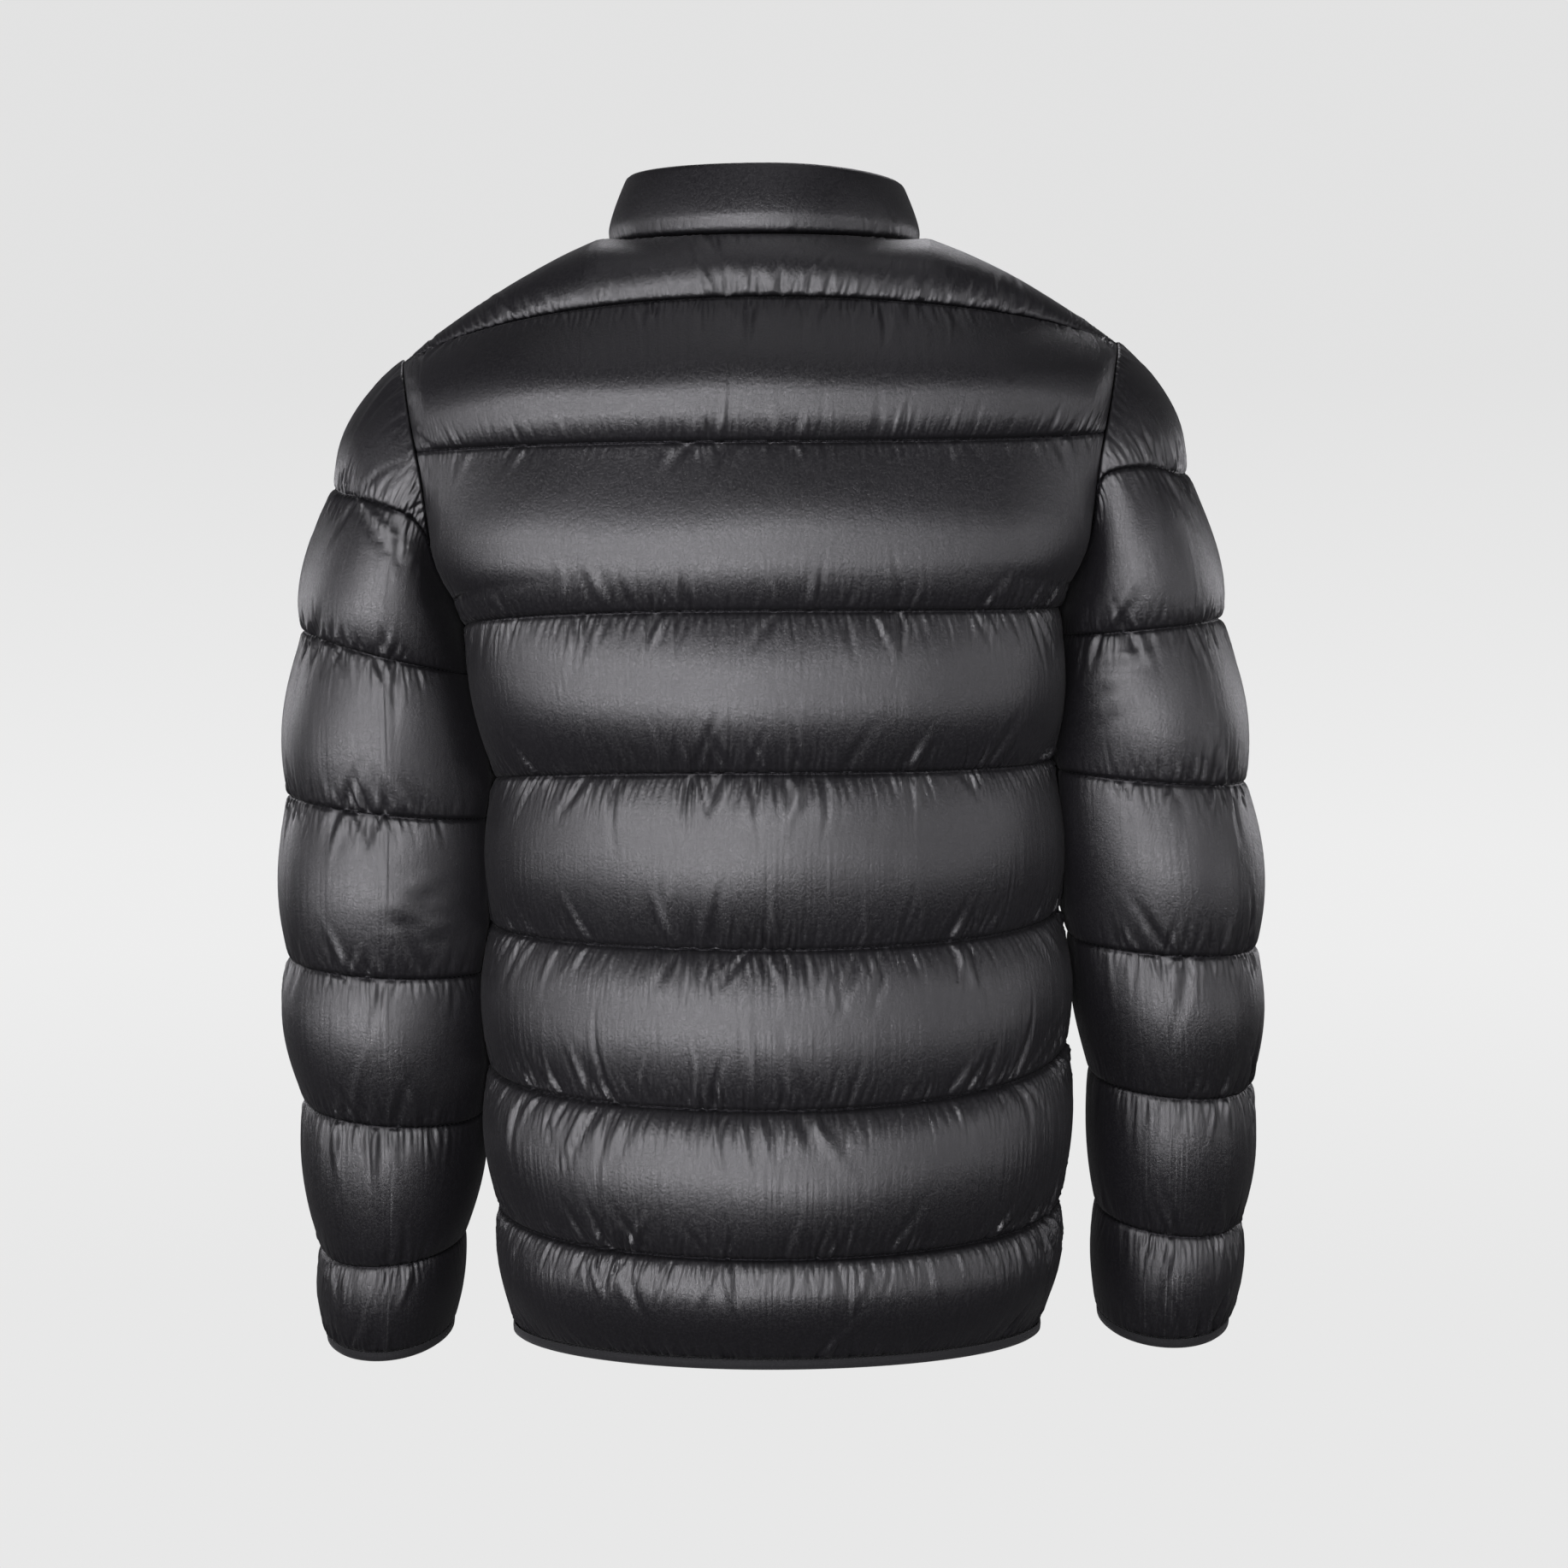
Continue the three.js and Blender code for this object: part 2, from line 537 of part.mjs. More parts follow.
// The collar as one quilted channel from one side of the zip round the neck to the other
function collar() {
  const ofTurn = (turn) => [turn < 0 ? 'right' : 'left', Math.abs(turn)];
  const inside = (turn, share) => collarInside(...ofTurn(turn), share);
  const outside = (turn, t) => {
    const at = inside(turn, t);
    const height = inside(turn, 0).distanceTo(inside(turn, 1));
    const end = Math.max(0, Math.abs(turn) < 120 ? END_ROUNDING : Math.abs(at.x) - ZIP.flatStrip);
    const normal = squareTo(inside, turn, t, 0.1, 0.01, point(0, 0, at.z));
    const direction = neckSeamDirection(at).lerp(normal, smooth(0, 0.3, t)).normalize();
    const thickness = SEAM_WALL + (COLLAR.topWall - SEAM_WALL) * t
      + loftAt(LOFT.collar, t, height, end);
    return at.addScaledVector(direction, thickness);
  };
  const quarter = (side) => [
    ...spread(0, 90, NECK_COLUMNS), ...spread(90, zipAngle(side), NECK_COLUMNS).slice(1),
  ];
  const turns = [
    ...quarter('right').reverse().map((turn) => -turn), ...quarter('left').slice(1),
  ];
  const steps = [...FINE_STEPS, 1];
  const outer = steps.map((t) => turns.map((turn) => outside(turn, t)));
  const inner = [0, 1].map((t) => turns.map((turn) => inside(turn, t)));
  return wallGeometry(outer, inner);
}

// A binding that carries on below a cut edge, given as points and their outward directions
function binding(edge, isTube) {
  const level = (share, wall) => edge.map(({ at, direction }) => (
    at.clone().addScaledVector(direction, wall)
      .add(point(0, 0, -SEAM_GAP - BINDING.height * share))
  ));
  const outer = [
    level(0, BINDING.wall - 0.6), level(0.3, BINDING.wall),
    level(0.7, BINDING.wall), level(1, BINDING.wall - 1.2),
  ];
  const inner = [level(0, 0), level(1, 0.6)].map((row) => everyNth(row, 2));
  return wallGeometry(outer, inner, isTube);
}

function hemBinding() {
  const trace = (face, side, shares) => shares.map((share) => {
    const inside = (u, line) => bodyInside(face, side, line, u);
    const at = inside(share, HEM_LINE);
    const centre = point(0, 0, at.z);
    return { at, direction: squareTo(inside, share, HEM_LINE, 1e-3, 1e-3, centre) };
  });
  const half = (side) => [
    ...trace('front', side, spread(0, 1, 18).slice(0, -1)),
    ...trace('back', side, spread(1, 0, 18)),
  ];
  return binding([...half('left'), ...half('right').reverse().slice(1)], false);
}

function cuffBinding(side) {
  const edge = spread(0, 360, SLEEVE_COLUMNS).slice(0, -1).map((clock) => {
    const inside = (angle, line) => sleeveInside(side, line, angle);
    const at = inside(clock, CUFF_LINE);
    const centre = at.clone().lerp(inside((clock + 180) % 360, CUFF_LINE), 0.5);
    return { at, direction: squareTo(inside, clock, CUFF_LINE, 0.5, 0.01, centre) };
  });
  return binding(edge, true);
}

// One half of the zip: a tape behind the edge of the front, with its row of teeth in the
// opening, from the hem to the top of the collar
function zipTape(side) {
  const { sign } = SIDES[side];
  const front = (line) => [0, 1 / BODY_PIECES.front.columns]
    .map((share) => bodyInside('front', side, line, share));
  const last = zipAngle(side);
  const next = last - (last - 90) / NECK_COLUMNS;
  const neck = (share) => [last, next].map((angle) => collarInside(side, angle, share));
  const stations = [
    ...spread(1, HEM_LINE, HEM_LINE - 1).reverse().map(front),
    neck(0),
    neck(1),
  ];
  const section = ([near, far]) => {
    const reach = (sign * far.x - ZIP.opening) / (ZIP.tape - ZIP.opening);
    const edge = near.clone().lerp(far, 1 / reach);
    const behind = ZIP.behind + ZIP.tapeWall;
    return [
      point(sign * ZIP.middle, near.y + behind, near.z),
      point(sign * ZIP.tape, edge.y + behind, edge.z),
      point(sign * ZIP.tape, edge.y + ZIP.behind, edge.z),
      point(sign * ZIP.teeth, near.y + ZIP.behind, near.z),
      point(sign * ZIP.teeth, near.y - ZIP.proud, near.z),
      point(sign * ZIP.middle, near.y - ZIP.proud, near.z),
    ];
  };
  const rings = stations.map(section);
  const positions = rings.flat().flatMap((p) => [p.x, p.y, p.z]);
  const count = rings[0].length;
  const index = [];
  for (let i = 0; i + 1 < rings.length; i += 1) {
    for (let j = 0; j < count; j += 1) {
      const [a, b] = [i * count + j, i * count + ((j + 1) % count)];
      index.push(a, a + count, b, b, a + count, b + count);
    }
  }
  // The section is an L: its tape and its teeth are closed by two quads at each end
  const start = (rings.length - 1) * count;
  index.push(0, 1, 2, 0, 2, 3, 0, 3, 4, 0, 4, 5);
  index.push(start, start + 2, start + 1, start, start + 3, start + 2);
  index.push(start, start + 4, start + 3, start, start + 5, start + 4);
  return facingOut(positions, index);
}

const wasm = await Module();
wasm.setup();

// Joins closed geometries into one
function joined(...geometries) {
  const solids = geometries.map((geometry) => {
    const bare = geometry.clone();
    bare.deleteAttribute('normal');
    bare.deleteAttribute('uv');
    const merged = mergeVertices(bare, 1e-4);
    return new wasm.Manifold(new wasm.Mesh({
      numProp: 3,
      vertProperties: merged.attributes.position.array,
      triVerts: new Uint32Array(merged.index.array),
    }));
  });
  const mesh = solids.reduce((all, solid) => all.add(solid)).getMesh();
  const geometry = new THREE.BufferGeometry();
  geometry.setAttribute('position', new THREE.BufferAttribute(mesh.vertProperties, 3));
  geometry.setIndex(new THREE.BufferAttribute(mesh.triVerts, 1));
  return geometry;
}

// Outline of a plate with rounded ends
function roundedPlate(width, top, bottom, corner) {
  const shape = new THREE.Shape();
  const side = width / 2;
  shape.moveTo(-side + corner, bottom);
  shape.lineTo(side - corner, bottom);
  shape.quadraticCurveTo(side, bottom, side, bottom + corner);
  shape.lineTo(side, top - corner);
  shape.quadraticCurveTo(side, top, side - corner, top);
  shape.lineTo(-side + corner, top);
  shape.quadraticCurveTo(-side, top, -side, top - corner);
  shape.lineTo(-side, bottom + corner);
  shape.quadraticCurveTo(-side, bottom, -side + corner, bottom);
  return shape;
}

const extrude = (shape, depth) => new THREE.ExtrudeGeometry(
  shape, { depth, bevelEnabled: false, curveSegments: 5 },
);
const SLIDER_FACE = -(ZIP.proud + SLIDER.gap);
const HINGE_Y = SLIDER_FACE - SLIDER.wall - SLIDER.eye;

// The slider: a plate in front of the teeth, with a ring that holds the pull tab
function sliderBody() {
  const half = SLIDER.height / 2;
  const plate = extrude(roundedPlate(SLIDER.width, half, -half, 2), SLIDER.wall);
  plate.rotateX(Math.PI / 2).translate(0, SLIDER_FACE, 0);
  const ringShape = new THREE.Shape().absarc(0, 0, SLIDER.ring, 0, TAU, false);
  ringShape.holes.push(new THREE.Path().absarc(0, 0, SLIDER.eye, 0, TAU, true));
  const ring = extrude(ringShape, SLIDER.bridge);
  ring.rotateY(Math.PI / 2).translate(-SLIDER.bridge / 2, HINGE_Y, 0);
  return joined(plate, ring);
}

// The pull tab, hanging from its crossbar in the slider's ring
function pullTab() {
  const shape = roundedPlate(PULL.width, PULL.bar, PULL.bar - PULL.length, 0.7);
  shape.holes.push(roundedPlate(2 * PULL.slot, -PULL.bar, -PULL.slotEnd, 0.5));
  return extrude(shape, PULL.wall).rotateX(Math.PI / 2).translate(0, PULL.wall / 2, 0);
}

const FINISH = {
  shell: { color: 0x1d1d21, roughness: 0.38, metalness: 0 },
  trim: { color: 0x131315, roughness: 0.8, metalness: 0 },
  tape: { color: 0x161618, roughness: 0.85, metalness: 0 },
  metal: { color: 0x2a2a2e, roughness: 0.35, metalness: 0.8 },
};

function named(name, geometry, finish) {
  const mesh = new THREE.Mesh(geometry, new THREE.MeshStandardMaterial(FINISH[finish]));
  mesh.name = name;
  return mesh;
}

const jacket = new THREE.Group();
jacket.add(
  named('back_panel', bodyPiece(BODY_PIECES.back), 'shell'),
  named('back_yoke', bodyPiece(BODY_PIECES.yoke), 'shell'),
  named('collar', collar(), 'shell'),
  named('hem_binding', hemBinding(), 'trim'),
);
for (const side of Object.keys(SIDES)) {
  jacket.add(
    named(`front_${side}`, bodyPiece(BODY_PIECES.front, side), 'shell'),
    named(`sleeve_${side}`, sleeve(side), 'shell'),
    named(`cuff_binding_${side}`, cuffBinding(side), 'trim'),
    named(`zip_tape_${side}`, zipTape(side), 'tape'),
  );
}

// The closed zip's slider rests near the top of the collar and leans with it
const lowPoint = collarInside('left', 180, 0);
const highPoint = collarInside('left', 180, 1);
const closure = new THREE.Group();
closure.position.lerpVectors(lowPoint, highPoint, SLIDER_SHARE).setX(0);
closure.rotation.x = -Math.atan2(highPoint.y - lowPoint.y, highPoint.z - lowPoint.z);
const pull = named('zip_pull', pullTab(), 'metal');
pull.position.y = HINGE_Y;
closure.add(named('zip_slider', sliderBody(), 'metal'), pull);
jacket.add(closure);

export default jacket;
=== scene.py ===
import math
from functools import partial

import bpy
import numpy as np
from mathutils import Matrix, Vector


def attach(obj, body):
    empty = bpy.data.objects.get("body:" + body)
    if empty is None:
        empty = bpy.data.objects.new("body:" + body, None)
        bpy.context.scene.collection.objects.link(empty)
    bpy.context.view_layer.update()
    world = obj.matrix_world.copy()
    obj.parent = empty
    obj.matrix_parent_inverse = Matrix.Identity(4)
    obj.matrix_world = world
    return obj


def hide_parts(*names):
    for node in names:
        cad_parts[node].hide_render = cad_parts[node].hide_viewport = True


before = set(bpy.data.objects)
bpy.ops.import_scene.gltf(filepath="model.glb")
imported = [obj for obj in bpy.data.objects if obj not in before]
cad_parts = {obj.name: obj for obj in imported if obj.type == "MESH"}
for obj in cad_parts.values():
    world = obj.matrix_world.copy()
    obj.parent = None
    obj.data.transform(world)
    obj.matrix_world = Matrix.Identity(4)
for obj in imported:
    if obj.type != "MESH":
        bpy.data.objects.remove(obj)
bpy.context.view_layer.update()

bl_info = {
    "name": "Quilted Puffer Jacket",
    "version": (1, 0, 0),
    "blender": (4, 5, 0),
    "location": "3D View > Sidebar > Jacket",
    "description": "Builds the padded cloth, trims and zip of a puffer jacket",
    "category": "Add Mesh",
}

# The pattern's tables are in millimetres, as a maker drafts it, and MM makes them metres
MM = 0.001
TAU = 2 * math.pi


def table(names, *rows):
    """A table as one array for each named column."""
    return dict(zip(names.split(), np.array(rows, float).T))


# The wall where it is sewn flat, and the gaps between pieces at their seams
SEAM_WALL = 3.6
SEAM_GAP = 0.3
ARMHOLE_GAP = 0.6

# A channel's swell: the height from which it is full, the power that shapes its section, and
# the width over which it runs out at each end
FULL_CHANNEL = 85
PILLOW_POWER = 0.8
END_ROUNDING = 34

# The girth of half the back or half the front
HALF_GIRTH = 270

# Half the gap between the fronts at the zip, and the flat strip beside it
ZIP_OPENING = 4
ZIP_FLAT_STRIP = 9

# The neckline's half widths, depths and heights, and its share of a line from centre to edge
NECK = {"left": 98, "right": 91, "back": 80, "front": 93}
NECK_SHARE = 9 / 22
NECK_HEIGHT = {"back": -3, "side": -1, "front": -68}
# The collar's heights, how it narrows upwards, and its wall at the top
COLLAR = {
    "back": 45, "left": 44, "right": 39, "front": 52,
    "taper": 0.88, "lift": 0.5, "top_wall": 5,
}
# How the right armhole differs from the left one
RIGHT_ARMHOLE = {"width_share": 0.948, "raise": 12}
UNDERARM_LINE = 2.8
HEM_LINE = 8
CUFF_LINE = 7

# Heights and depths of each quilt line of the body at the centre back and centre front
BODY_ROWS = table(
    "line z_back y_back wrap_back z_front y_front wrap_front",
    (1, -42, 94, 62, -70, -112, 60),
    (2, -131, 113, 62, -124, -130, 62),
    (3, -233, 118, 90, -230, -138, 90),
    (4, -331, 113, 90, -328, -130, 90),
    (5, -439, 108, 90, -424, -123, 90),
    (6, -537, 113, 90, -514, -125, 90),
    (7, -627, 117, 90, -606, -130, 90),
    (8, -690, 106, 90, -684, -126, 90),
)

# Fullness of the body's sections where the chest passes under the arms: how square they are,
# and how far out of the side seam their edges would lie but for the armhole
CHEST_ROWS = table(
    "line power edge",
    (1, 1, 14),
    (1.5, 1, 45),
    (2, 1, 63),
    (2.4, 0.95, 60),
    (2.8, 0.88, 51),
    (3.2, 0.86, 38),
    (3.6, 0.88, 22),
    (4.2, 0.95, 6),
    (5, 1, 0),
    (8, 1, 0),
)
ARMHOLE_SHARE = 7

# Where each quilt line meets the side seams
SIDE_ROWS = table(
    "line x_left z_left x_right z_right",
    (UNDERARM_LINE, 193, -222, 183, -210),
    (3, 190, -241, 180, -228),
    (4, 172, -338, 177, -324),
    (5, 175, -429, 181, -419),
    (6, 176, -520, 186, -503),
    (7, 170, -610, 182, -606),
    (8, 161, -687, 170, -686),
)

# The left armhole by clock angle, over the back to the underarm and up the front. Its first
# and last rows repeat the ones beyond them, so that the curve closes smoothly.
ARMHOLE_ROWS = table(
    "clock x y z",
    (-45, 221, -45, -98),
    (0, 231, 0, -74),
    (45, 225, 45, -98),
    (90, 214, 66, -148),
    (135, 206, 48, -196),
    (180, 193, 0, -222),
    (225, 202, -46, -194),
    (270, 208, -66, -146),
    (315, 221, -45, -98),
    (360, 231, 0, -74),
    (405, 225, 45, -98),
)
ARMHOLE_CENTRE_Z = -148

# Where each line of the body ends on the armhole, in degrees from the shoulder tip
ARMHOLE_LINES = table(
    "line back front",
    (0, 0, -30),
    (1, 12, 0),
    (1.5, 45, 40),
    (2, 78, 76),
    (2.4, 117, 116),
    (2.6, 140, 139),
    (UNDERARM_LINE, 180, 180),
)

# Sections of each sleeve on its quilt lines, from the second line on
SLEEVE_COLUMNS = "line x_out z_out x_in z_in y depth tilt"
SLEEVE_ROWS = {
    "left": table(
        SLEEVE_COLUMNS,
        (2, 294, -243, 194, -272, -6, 62, 2),
        (3, 304, -348, 181, -362, -6, 58, 4),
        (4, 305, -453, 183, -460, -10, 54, 6),
        (5, 297, -546, 190, -554, -20, 49, 9),
        (6, 288, -645, 206, -637, -33, 44, 12),
        (7, 288, -700, 214, -695, -44, 42, 15),
    ),
    "right": table(
        SLEEVE_COLUMNS,
        (2, 283, -236, 186, -246, -6, 62, 2),
        (3, 300, -340, 184, -330, -6, 58, 4),
        (4, 308, -446, 197, -438, -10, 54, 6),
        (5, 306, -536, 213, -528, -20, 49, 9),
        (6, 302, -626, 219, -617, -33, 44, 12),
        (7, 298, -690, 221, -688, -44, 42, 15),
    ),
}
# A sleeve's cap: how steeply it leaves the shoulder, the pull of its curve, and how far round
# its first quilt line runs before it meets the armhole seam
CAP_SLOPE = 37
CAP_PULL = 0.6
CAP_LINE = {"left": 124, "right": 104, "power": 2.4, "least": 0.05, "rounding": 0.05}

# The share of its loft that a sleeve keeps on the side that faces the body
INNER_SIDE_LOFT = 0.6

# How a sleeve is kept clear of the body beside it
CLEAR_START = 0.3
CLEAR_GAP = 0.8
CLEAR_WALL = 5
CLEAR_LOFT = 5
CLEAR_SEAM = 0.1
CLEAR_GROWTH = 70
CLEAR_ROUNDING = 3
SIDE_SIGN = {"left": 1, "right": -1}

# Steps over which the slopes of the body's and of the round surfaces are measured
FINE_STEPS = (1e-3, 1e-3)
ROUND_STEPS = (0.5, 0.01)

# Grid of each padded piece: columns along the seams, and rows in each channel. The lining has
# a vertex for every few of the outer cloth's, both ways.
BACK_GRID = 540
FRONT_GRID = 268
SLEEVE_GRID = 336
COLLAR_GRID = 480
ROW_STEPS = 24
LINING_EVERY = 4
LINING_SWELL = 2.5

# How much of its loft the body loses at the side seams
SIDE_FADE = 0.45
# The loft of the yoke and the fronts beside the back panel's
YOKE_LOFT = 0.82
FRONT_LOFT = 0.92

# How far down its channel the filling hangs: above 1 the fullest place is below the middle
BODY_SAG = (1.25, 1.6, 1.4, 1.15, 1.0, 0.9, 0.8, 0.76)
SLEEVE_SAG = (1.1, 1.15, 1.06, 1.04, 1.0, 0.95, 0.9)
COLLAR_SAG = (0.6,)

# Gathers at the seams: the gap between the short ones and between the long creases, how far
# both fan out, and the weight of each seam
BODY_GATHERS = (3.1, 11, 0.85)
SEAM_WEIGHTS = (0.7, 0.75, 0.6, 1.1, 1.25, 1.35, 1.4, 1.4, 0.8)
SLEEVE_GATHERS = (3.2, 11, 0)
SLEEVE_WEIGHTS = (1.0, *7 * (1.15,))
COLLAR_GATHERS = (7, 30, 0.1)
COLLAR_WEIGHTS = (0.4, 0.05)
COLLAR_CALM = 0.8
EDGE_GATHERS = (6, 15, 0, 0.8)
EDGE_FADE = 12

# The two kinds of wrinkle that start on a seam, with the ranges their sizes are drawn from
GATHER = {
    "lean": 0.15, "bend": 0.2, "reach": (7, 15), "longest": 14, "rare": 3,
    "width": (0.95, 1.5), "depth": (1.4, 3.0), "step": (0.7, 1.35),
}
CREASE = {
    "lean": 0.22, "bend": 0.22, "reach": (14, 30), "longest": 20, "rare": 4,
    "width": (2.0, 4.2), "depth": (1.6, 3.6), "step": (0.5, 1.5),
}
# Lengths of the waves in which gathers grow fuller and thinner along a seam, and the share
# of its reach at which a crease is highest
FULLNESS_WAVES = (61, 137, 290)
CREASE_PEAK = 0.24

STITCH = {"pitch": 3.4, "length": 3.7, "radius": 0.5, "lift": 0.15, "margin": 1.5}

# Free folds: where they lie (mm along and down the piece; on a sleeve the clock angle, the
# channel and the mm below its upper seam), their turn from level, reach, width and height
BACK_FOLDS = (
    ((258, 68), -27, 12, 1.8, 3.2),
)
SLEEVE_FOLDS = {
    "left": (
        ((112, 3, 42), -28, 13, 3.0, 3.4),
        ((108, 3, 56), -14, 16, 2.6, 3.0),
        ((118, 3, 68), 6, 12, 2.6, 2.6),
        ((90, 1, 15), 25, 32, 2.0, 3.4),
    ),
    "right": (
        ((106, 2, 17), 4, 17, 2.2, 1.8),
        ((120, 2, 32), 16, 15, 2.6, 2.0),
        ((112, 2, 48), 28, 12, 2.8, 1.8),
    ),
}

# The deepest wrinkle, the height below which a channel holds its wrinkles back, and the
# groove and the painted shade along each line of stitches
WRINKLE_LIMIT = 3.4
NARROW_CHANNEL = 50
SEAM_GROOVE = 0.9
GROOVE_WIDTH = 1.1
PAINTED_SHADE_WIDTH = 1.5

# A sleeve's own wall, and how far from the armhole it is reached
SLEEVE_WALL = 5.4
CAP_EASE = 70

# The zip's tapes and teeth, and how far the teeth run past the front's edge at the hem
TAPE_EDGE = 0.3
ZIP_TAPE = 16
ZIP_BEHIND = 0.5
TAPE_WALL = 1.2
TOOTH = {
    "pitch": 3.1, "size": (3.0, 2.6, 1.5), "bevel": 0.35, "aside": 1.35, "forward": 1.0,
}
ZIP_FOOT = 5

# The binding's section, outwards and down from the edge that it is folded round
BINDING_PROFILE = (
    (0.4, 0.3), (0.4, 4.9), (1.2, 6.0), (3.4, 6.1), (4.5, 5.2), (4.7, 2.8), (4.5, 0.3),
)
BINDING_CLOTH = 0.8

# The stage, in metres
CAMERA_AT = (-0.009, 2.0, -0.267)
CAMERA_AIM = (-0.009, 0.0, -0.342)
LIGHT_AIM = (0, 0, -0.33)
LIGHT_COLOUR = (0.97, 0.955, 1.0)
# Each softbox: its place, its width and height, and its share of the key or the fill light
LIGHTS = (
    ("key", (0.45, 2.3, -0.22), (2.0, 0.36), "key", 1),
    ("left_key", (2.0, 1.5, -0.27), (1.4, 0.45), "key", 0.34),
    ("right_key", (-2.0, 1.5, -0.27), (1.4, 0.45), "key", 0.2),
    ("front_left", (1.9, -1.3, -0.1), (0.8, 0.6), "key", 0.1),
    ("front_right", (-1.9, -1.3, -0.1), (0.8, 0.6), "key", 0.1),
    ("front_top", (-0.2, -1.6, 1.5), (1.2, 0.8), "key", 0.18),
    ("left_fill", (2.3, 0.6, 0.3), (0.8, 1.2), "fill", 1),
    ("right_fill", (-2.3, 0.6, 0.3), (0.8, 1.2), "fill", 1),
    ("top_fill", (0.0, 0.3, 2.0), (1.2, 1.2), "fill", 1),
)


def stack(x, y, z):
    """Coordinates of like shape as an array of points."""
    return np.stack(np.broadcast_arrays(x, y, z), axis=-1)


def column(rows, key, name, at):
    """A table's column at the given keys, on a smooth curve that never overshoots a row."""
    x, y = rows[key], rows[name]
    step = np.diff(x)
    slope = np.diff(y) / step
    before, after = slope[:-1], slope[1:]
    product = before * after
    mean = 2 * product / np.where(product > 0, before + after, 1)
    tangent = np.concatenate([slope[:1], np.where(product > 0, mean, 0), slope[-1:]])
    i = np.clip(np.searchsorted(x, at, side="left") - 1, 0, len(step) - 1)
    t = np.clip((at - x[i]) / step[i], 0, 1)
    return hermite(y[i], step[i] * tangent[i], y[i + 1], step[i] * tangent[i + 1], t)


def smooth(start, end, value):
    """Smooth step from 0 at one value to 1 at another, which may be the lower of the two."""
    t = np.clip((value - start) / (end - start), 0, 1)
    return t * t * (3 - 2 * t)


def unit(v):
    """Vectors of length 1."""
    return v / np.maximum(np.linalg.norm(v, axis=-1, keepdims=True), 1e-9)


def length(v):
    """Length of each vector."""
    return np.linalg.norm(v, axis=-1)


def hermite(a, leave, b, arrive, t):
    """Values on curves that leave a along one tangent and arrive at b along another."""
    return (
        (2 * t**3 - 3 * t**2 + 1) * a
        + (t**3 - 2 * t**2 + t) * leave
        + (3 * t**2 - 2 * t**3) * b
        + (t**3 - t**2) * arrive
    )


def armhole(side, clock):
    """The armhole seam on the plain inside, by clock angle."""
    x, y, z = (column(ARMHOLE_ROWS, "clock", name, clock) for name in "xyz")
    if side == "left":
        return stack(x, y, z)
    return stack(-x * RIGHT_ARMHOLE["width_share"], y, z + RIGHT_ARMHOLE["raise"])


def body_edge(face, side, line):
    """The end of a body line, on the armhole above the underarm and on the side seam below."""
    turn = column(ARMHOLE_LINES, "line", face, np.minimum(line, UNDERARM_LINE))
    upper = armhole(side, turn if face == "back" else 360 - turn)
    x = SIDE_SIGN[side] * column(SIDE_ROWS, "line", "x_" + side, line)
    lower = stack(x, 0, column(SIDE_ROWS, "line", "z_" + side, line))
    return np.where((line < UNDERARM_LINE)[..., None], upper, lower)


def body_section(face, side, line, share):
    """Points of the body's plain inside, with share 0 at the centre and 1 at the edge."""
    edge = body_edge(face, side, line)
    y_mid = column(BODY_ROWS, "line", "y_" + face, line)
    z_mid = column(BODY_ROWS, "line", "z_" + face, line)
    angle = np.radians(column(BODY_ROWS, "line", "wrap_" + face, line))
    start = ZIP_OPENING * SIDE_SIGN[side] if face == "front" else 0
    rise = (np.cos(angle * share) - np.cos(angle)) / (1 - np.cos(angle))
    square = column(CHEST_ROWS, "line", "power", line)
    rise = np.sign(rise) * np.abs(rise) ** square
    soft = column(CHEST_ROWS, "line", "edge", line) * (1 if face == "back" else -1)
    y_edge = soft + (edge[..., 1] - soft) * np.abs(share) ** ARMHOLE_SHARE
    return stack(
        start + (edge[..., 0] - start) * np.sin(angle * share) / np.sin(angle),
        y_edge + (y_mid - y_edge) * rise,
        z_mid + (edge[..., 2] - z_mid) * share**2,
    )


def neckline(side, angle):
    """The neckline seam, with angle 0 at the centre back and 180 degrees at the centre front."""
    a = np.radians(angle)
    in_front = angle > 90
    end = np.where(in_front, NECK_HEIGHT["front"], NECK_HEIGHT["back"])
    return stack(
        SIDE_SIGN[side] * NECK[side] * np.sin(a),
        np.cos(a) * np.where(in_front, NECK["front"], NECK["back"]),
        NECK_HEIGHT["side"] + (end - NECK_HEIGHT["side"]) * np.cos(a) ** 2,
    )


def zip_angle(side):
    """The angle on the neckline at which a front ends beside the zip."""
    return 180 - math.degrees(math.asin(ZIP_OPENING / NECK[side]))


def top_edge(face, side, share):
    """The neckline from the centre, then the shoulder seam to its tip."""
    centre = 0 if face == "back" else zip_angle(side)
    neck = neckline(side, centre + (90 - centre) * np.minimum(share / NECK_SHARE, 1))
    along = np.clip((share - NECK_SHARE) / (1 - NECK_SHARE), 0, None)[..., None]
    corner = neckline(side, np.array(90.0))
    shoulder = corner + (armhole(side, np.array(0.0)) - corner) * along
    return np.where((share <= NECK_SHARE)[..., None], neck, shoulder)


def shoulder_patch(face, side, line, share, t):
    """The body between its upper edge and a line, rounded over the shoulder."""
    a = top_edge(face, side, share)
    b = body_section(face, side, line, share)
    reach = length(a - b)[..., None]
    over = smooth(0, NECK_SHARE, share)
    sign = 1 if face == "back" else -1
    leave = unit(stack(0, sign * (0.55 + 0.45 * over), -0.8 + 0.62 * over))
    arrive = unit(body_section(face, side, line + 0.02, share) - b)
    return hermite(a, leave * reach, b, arrive * reach, t[..., None])


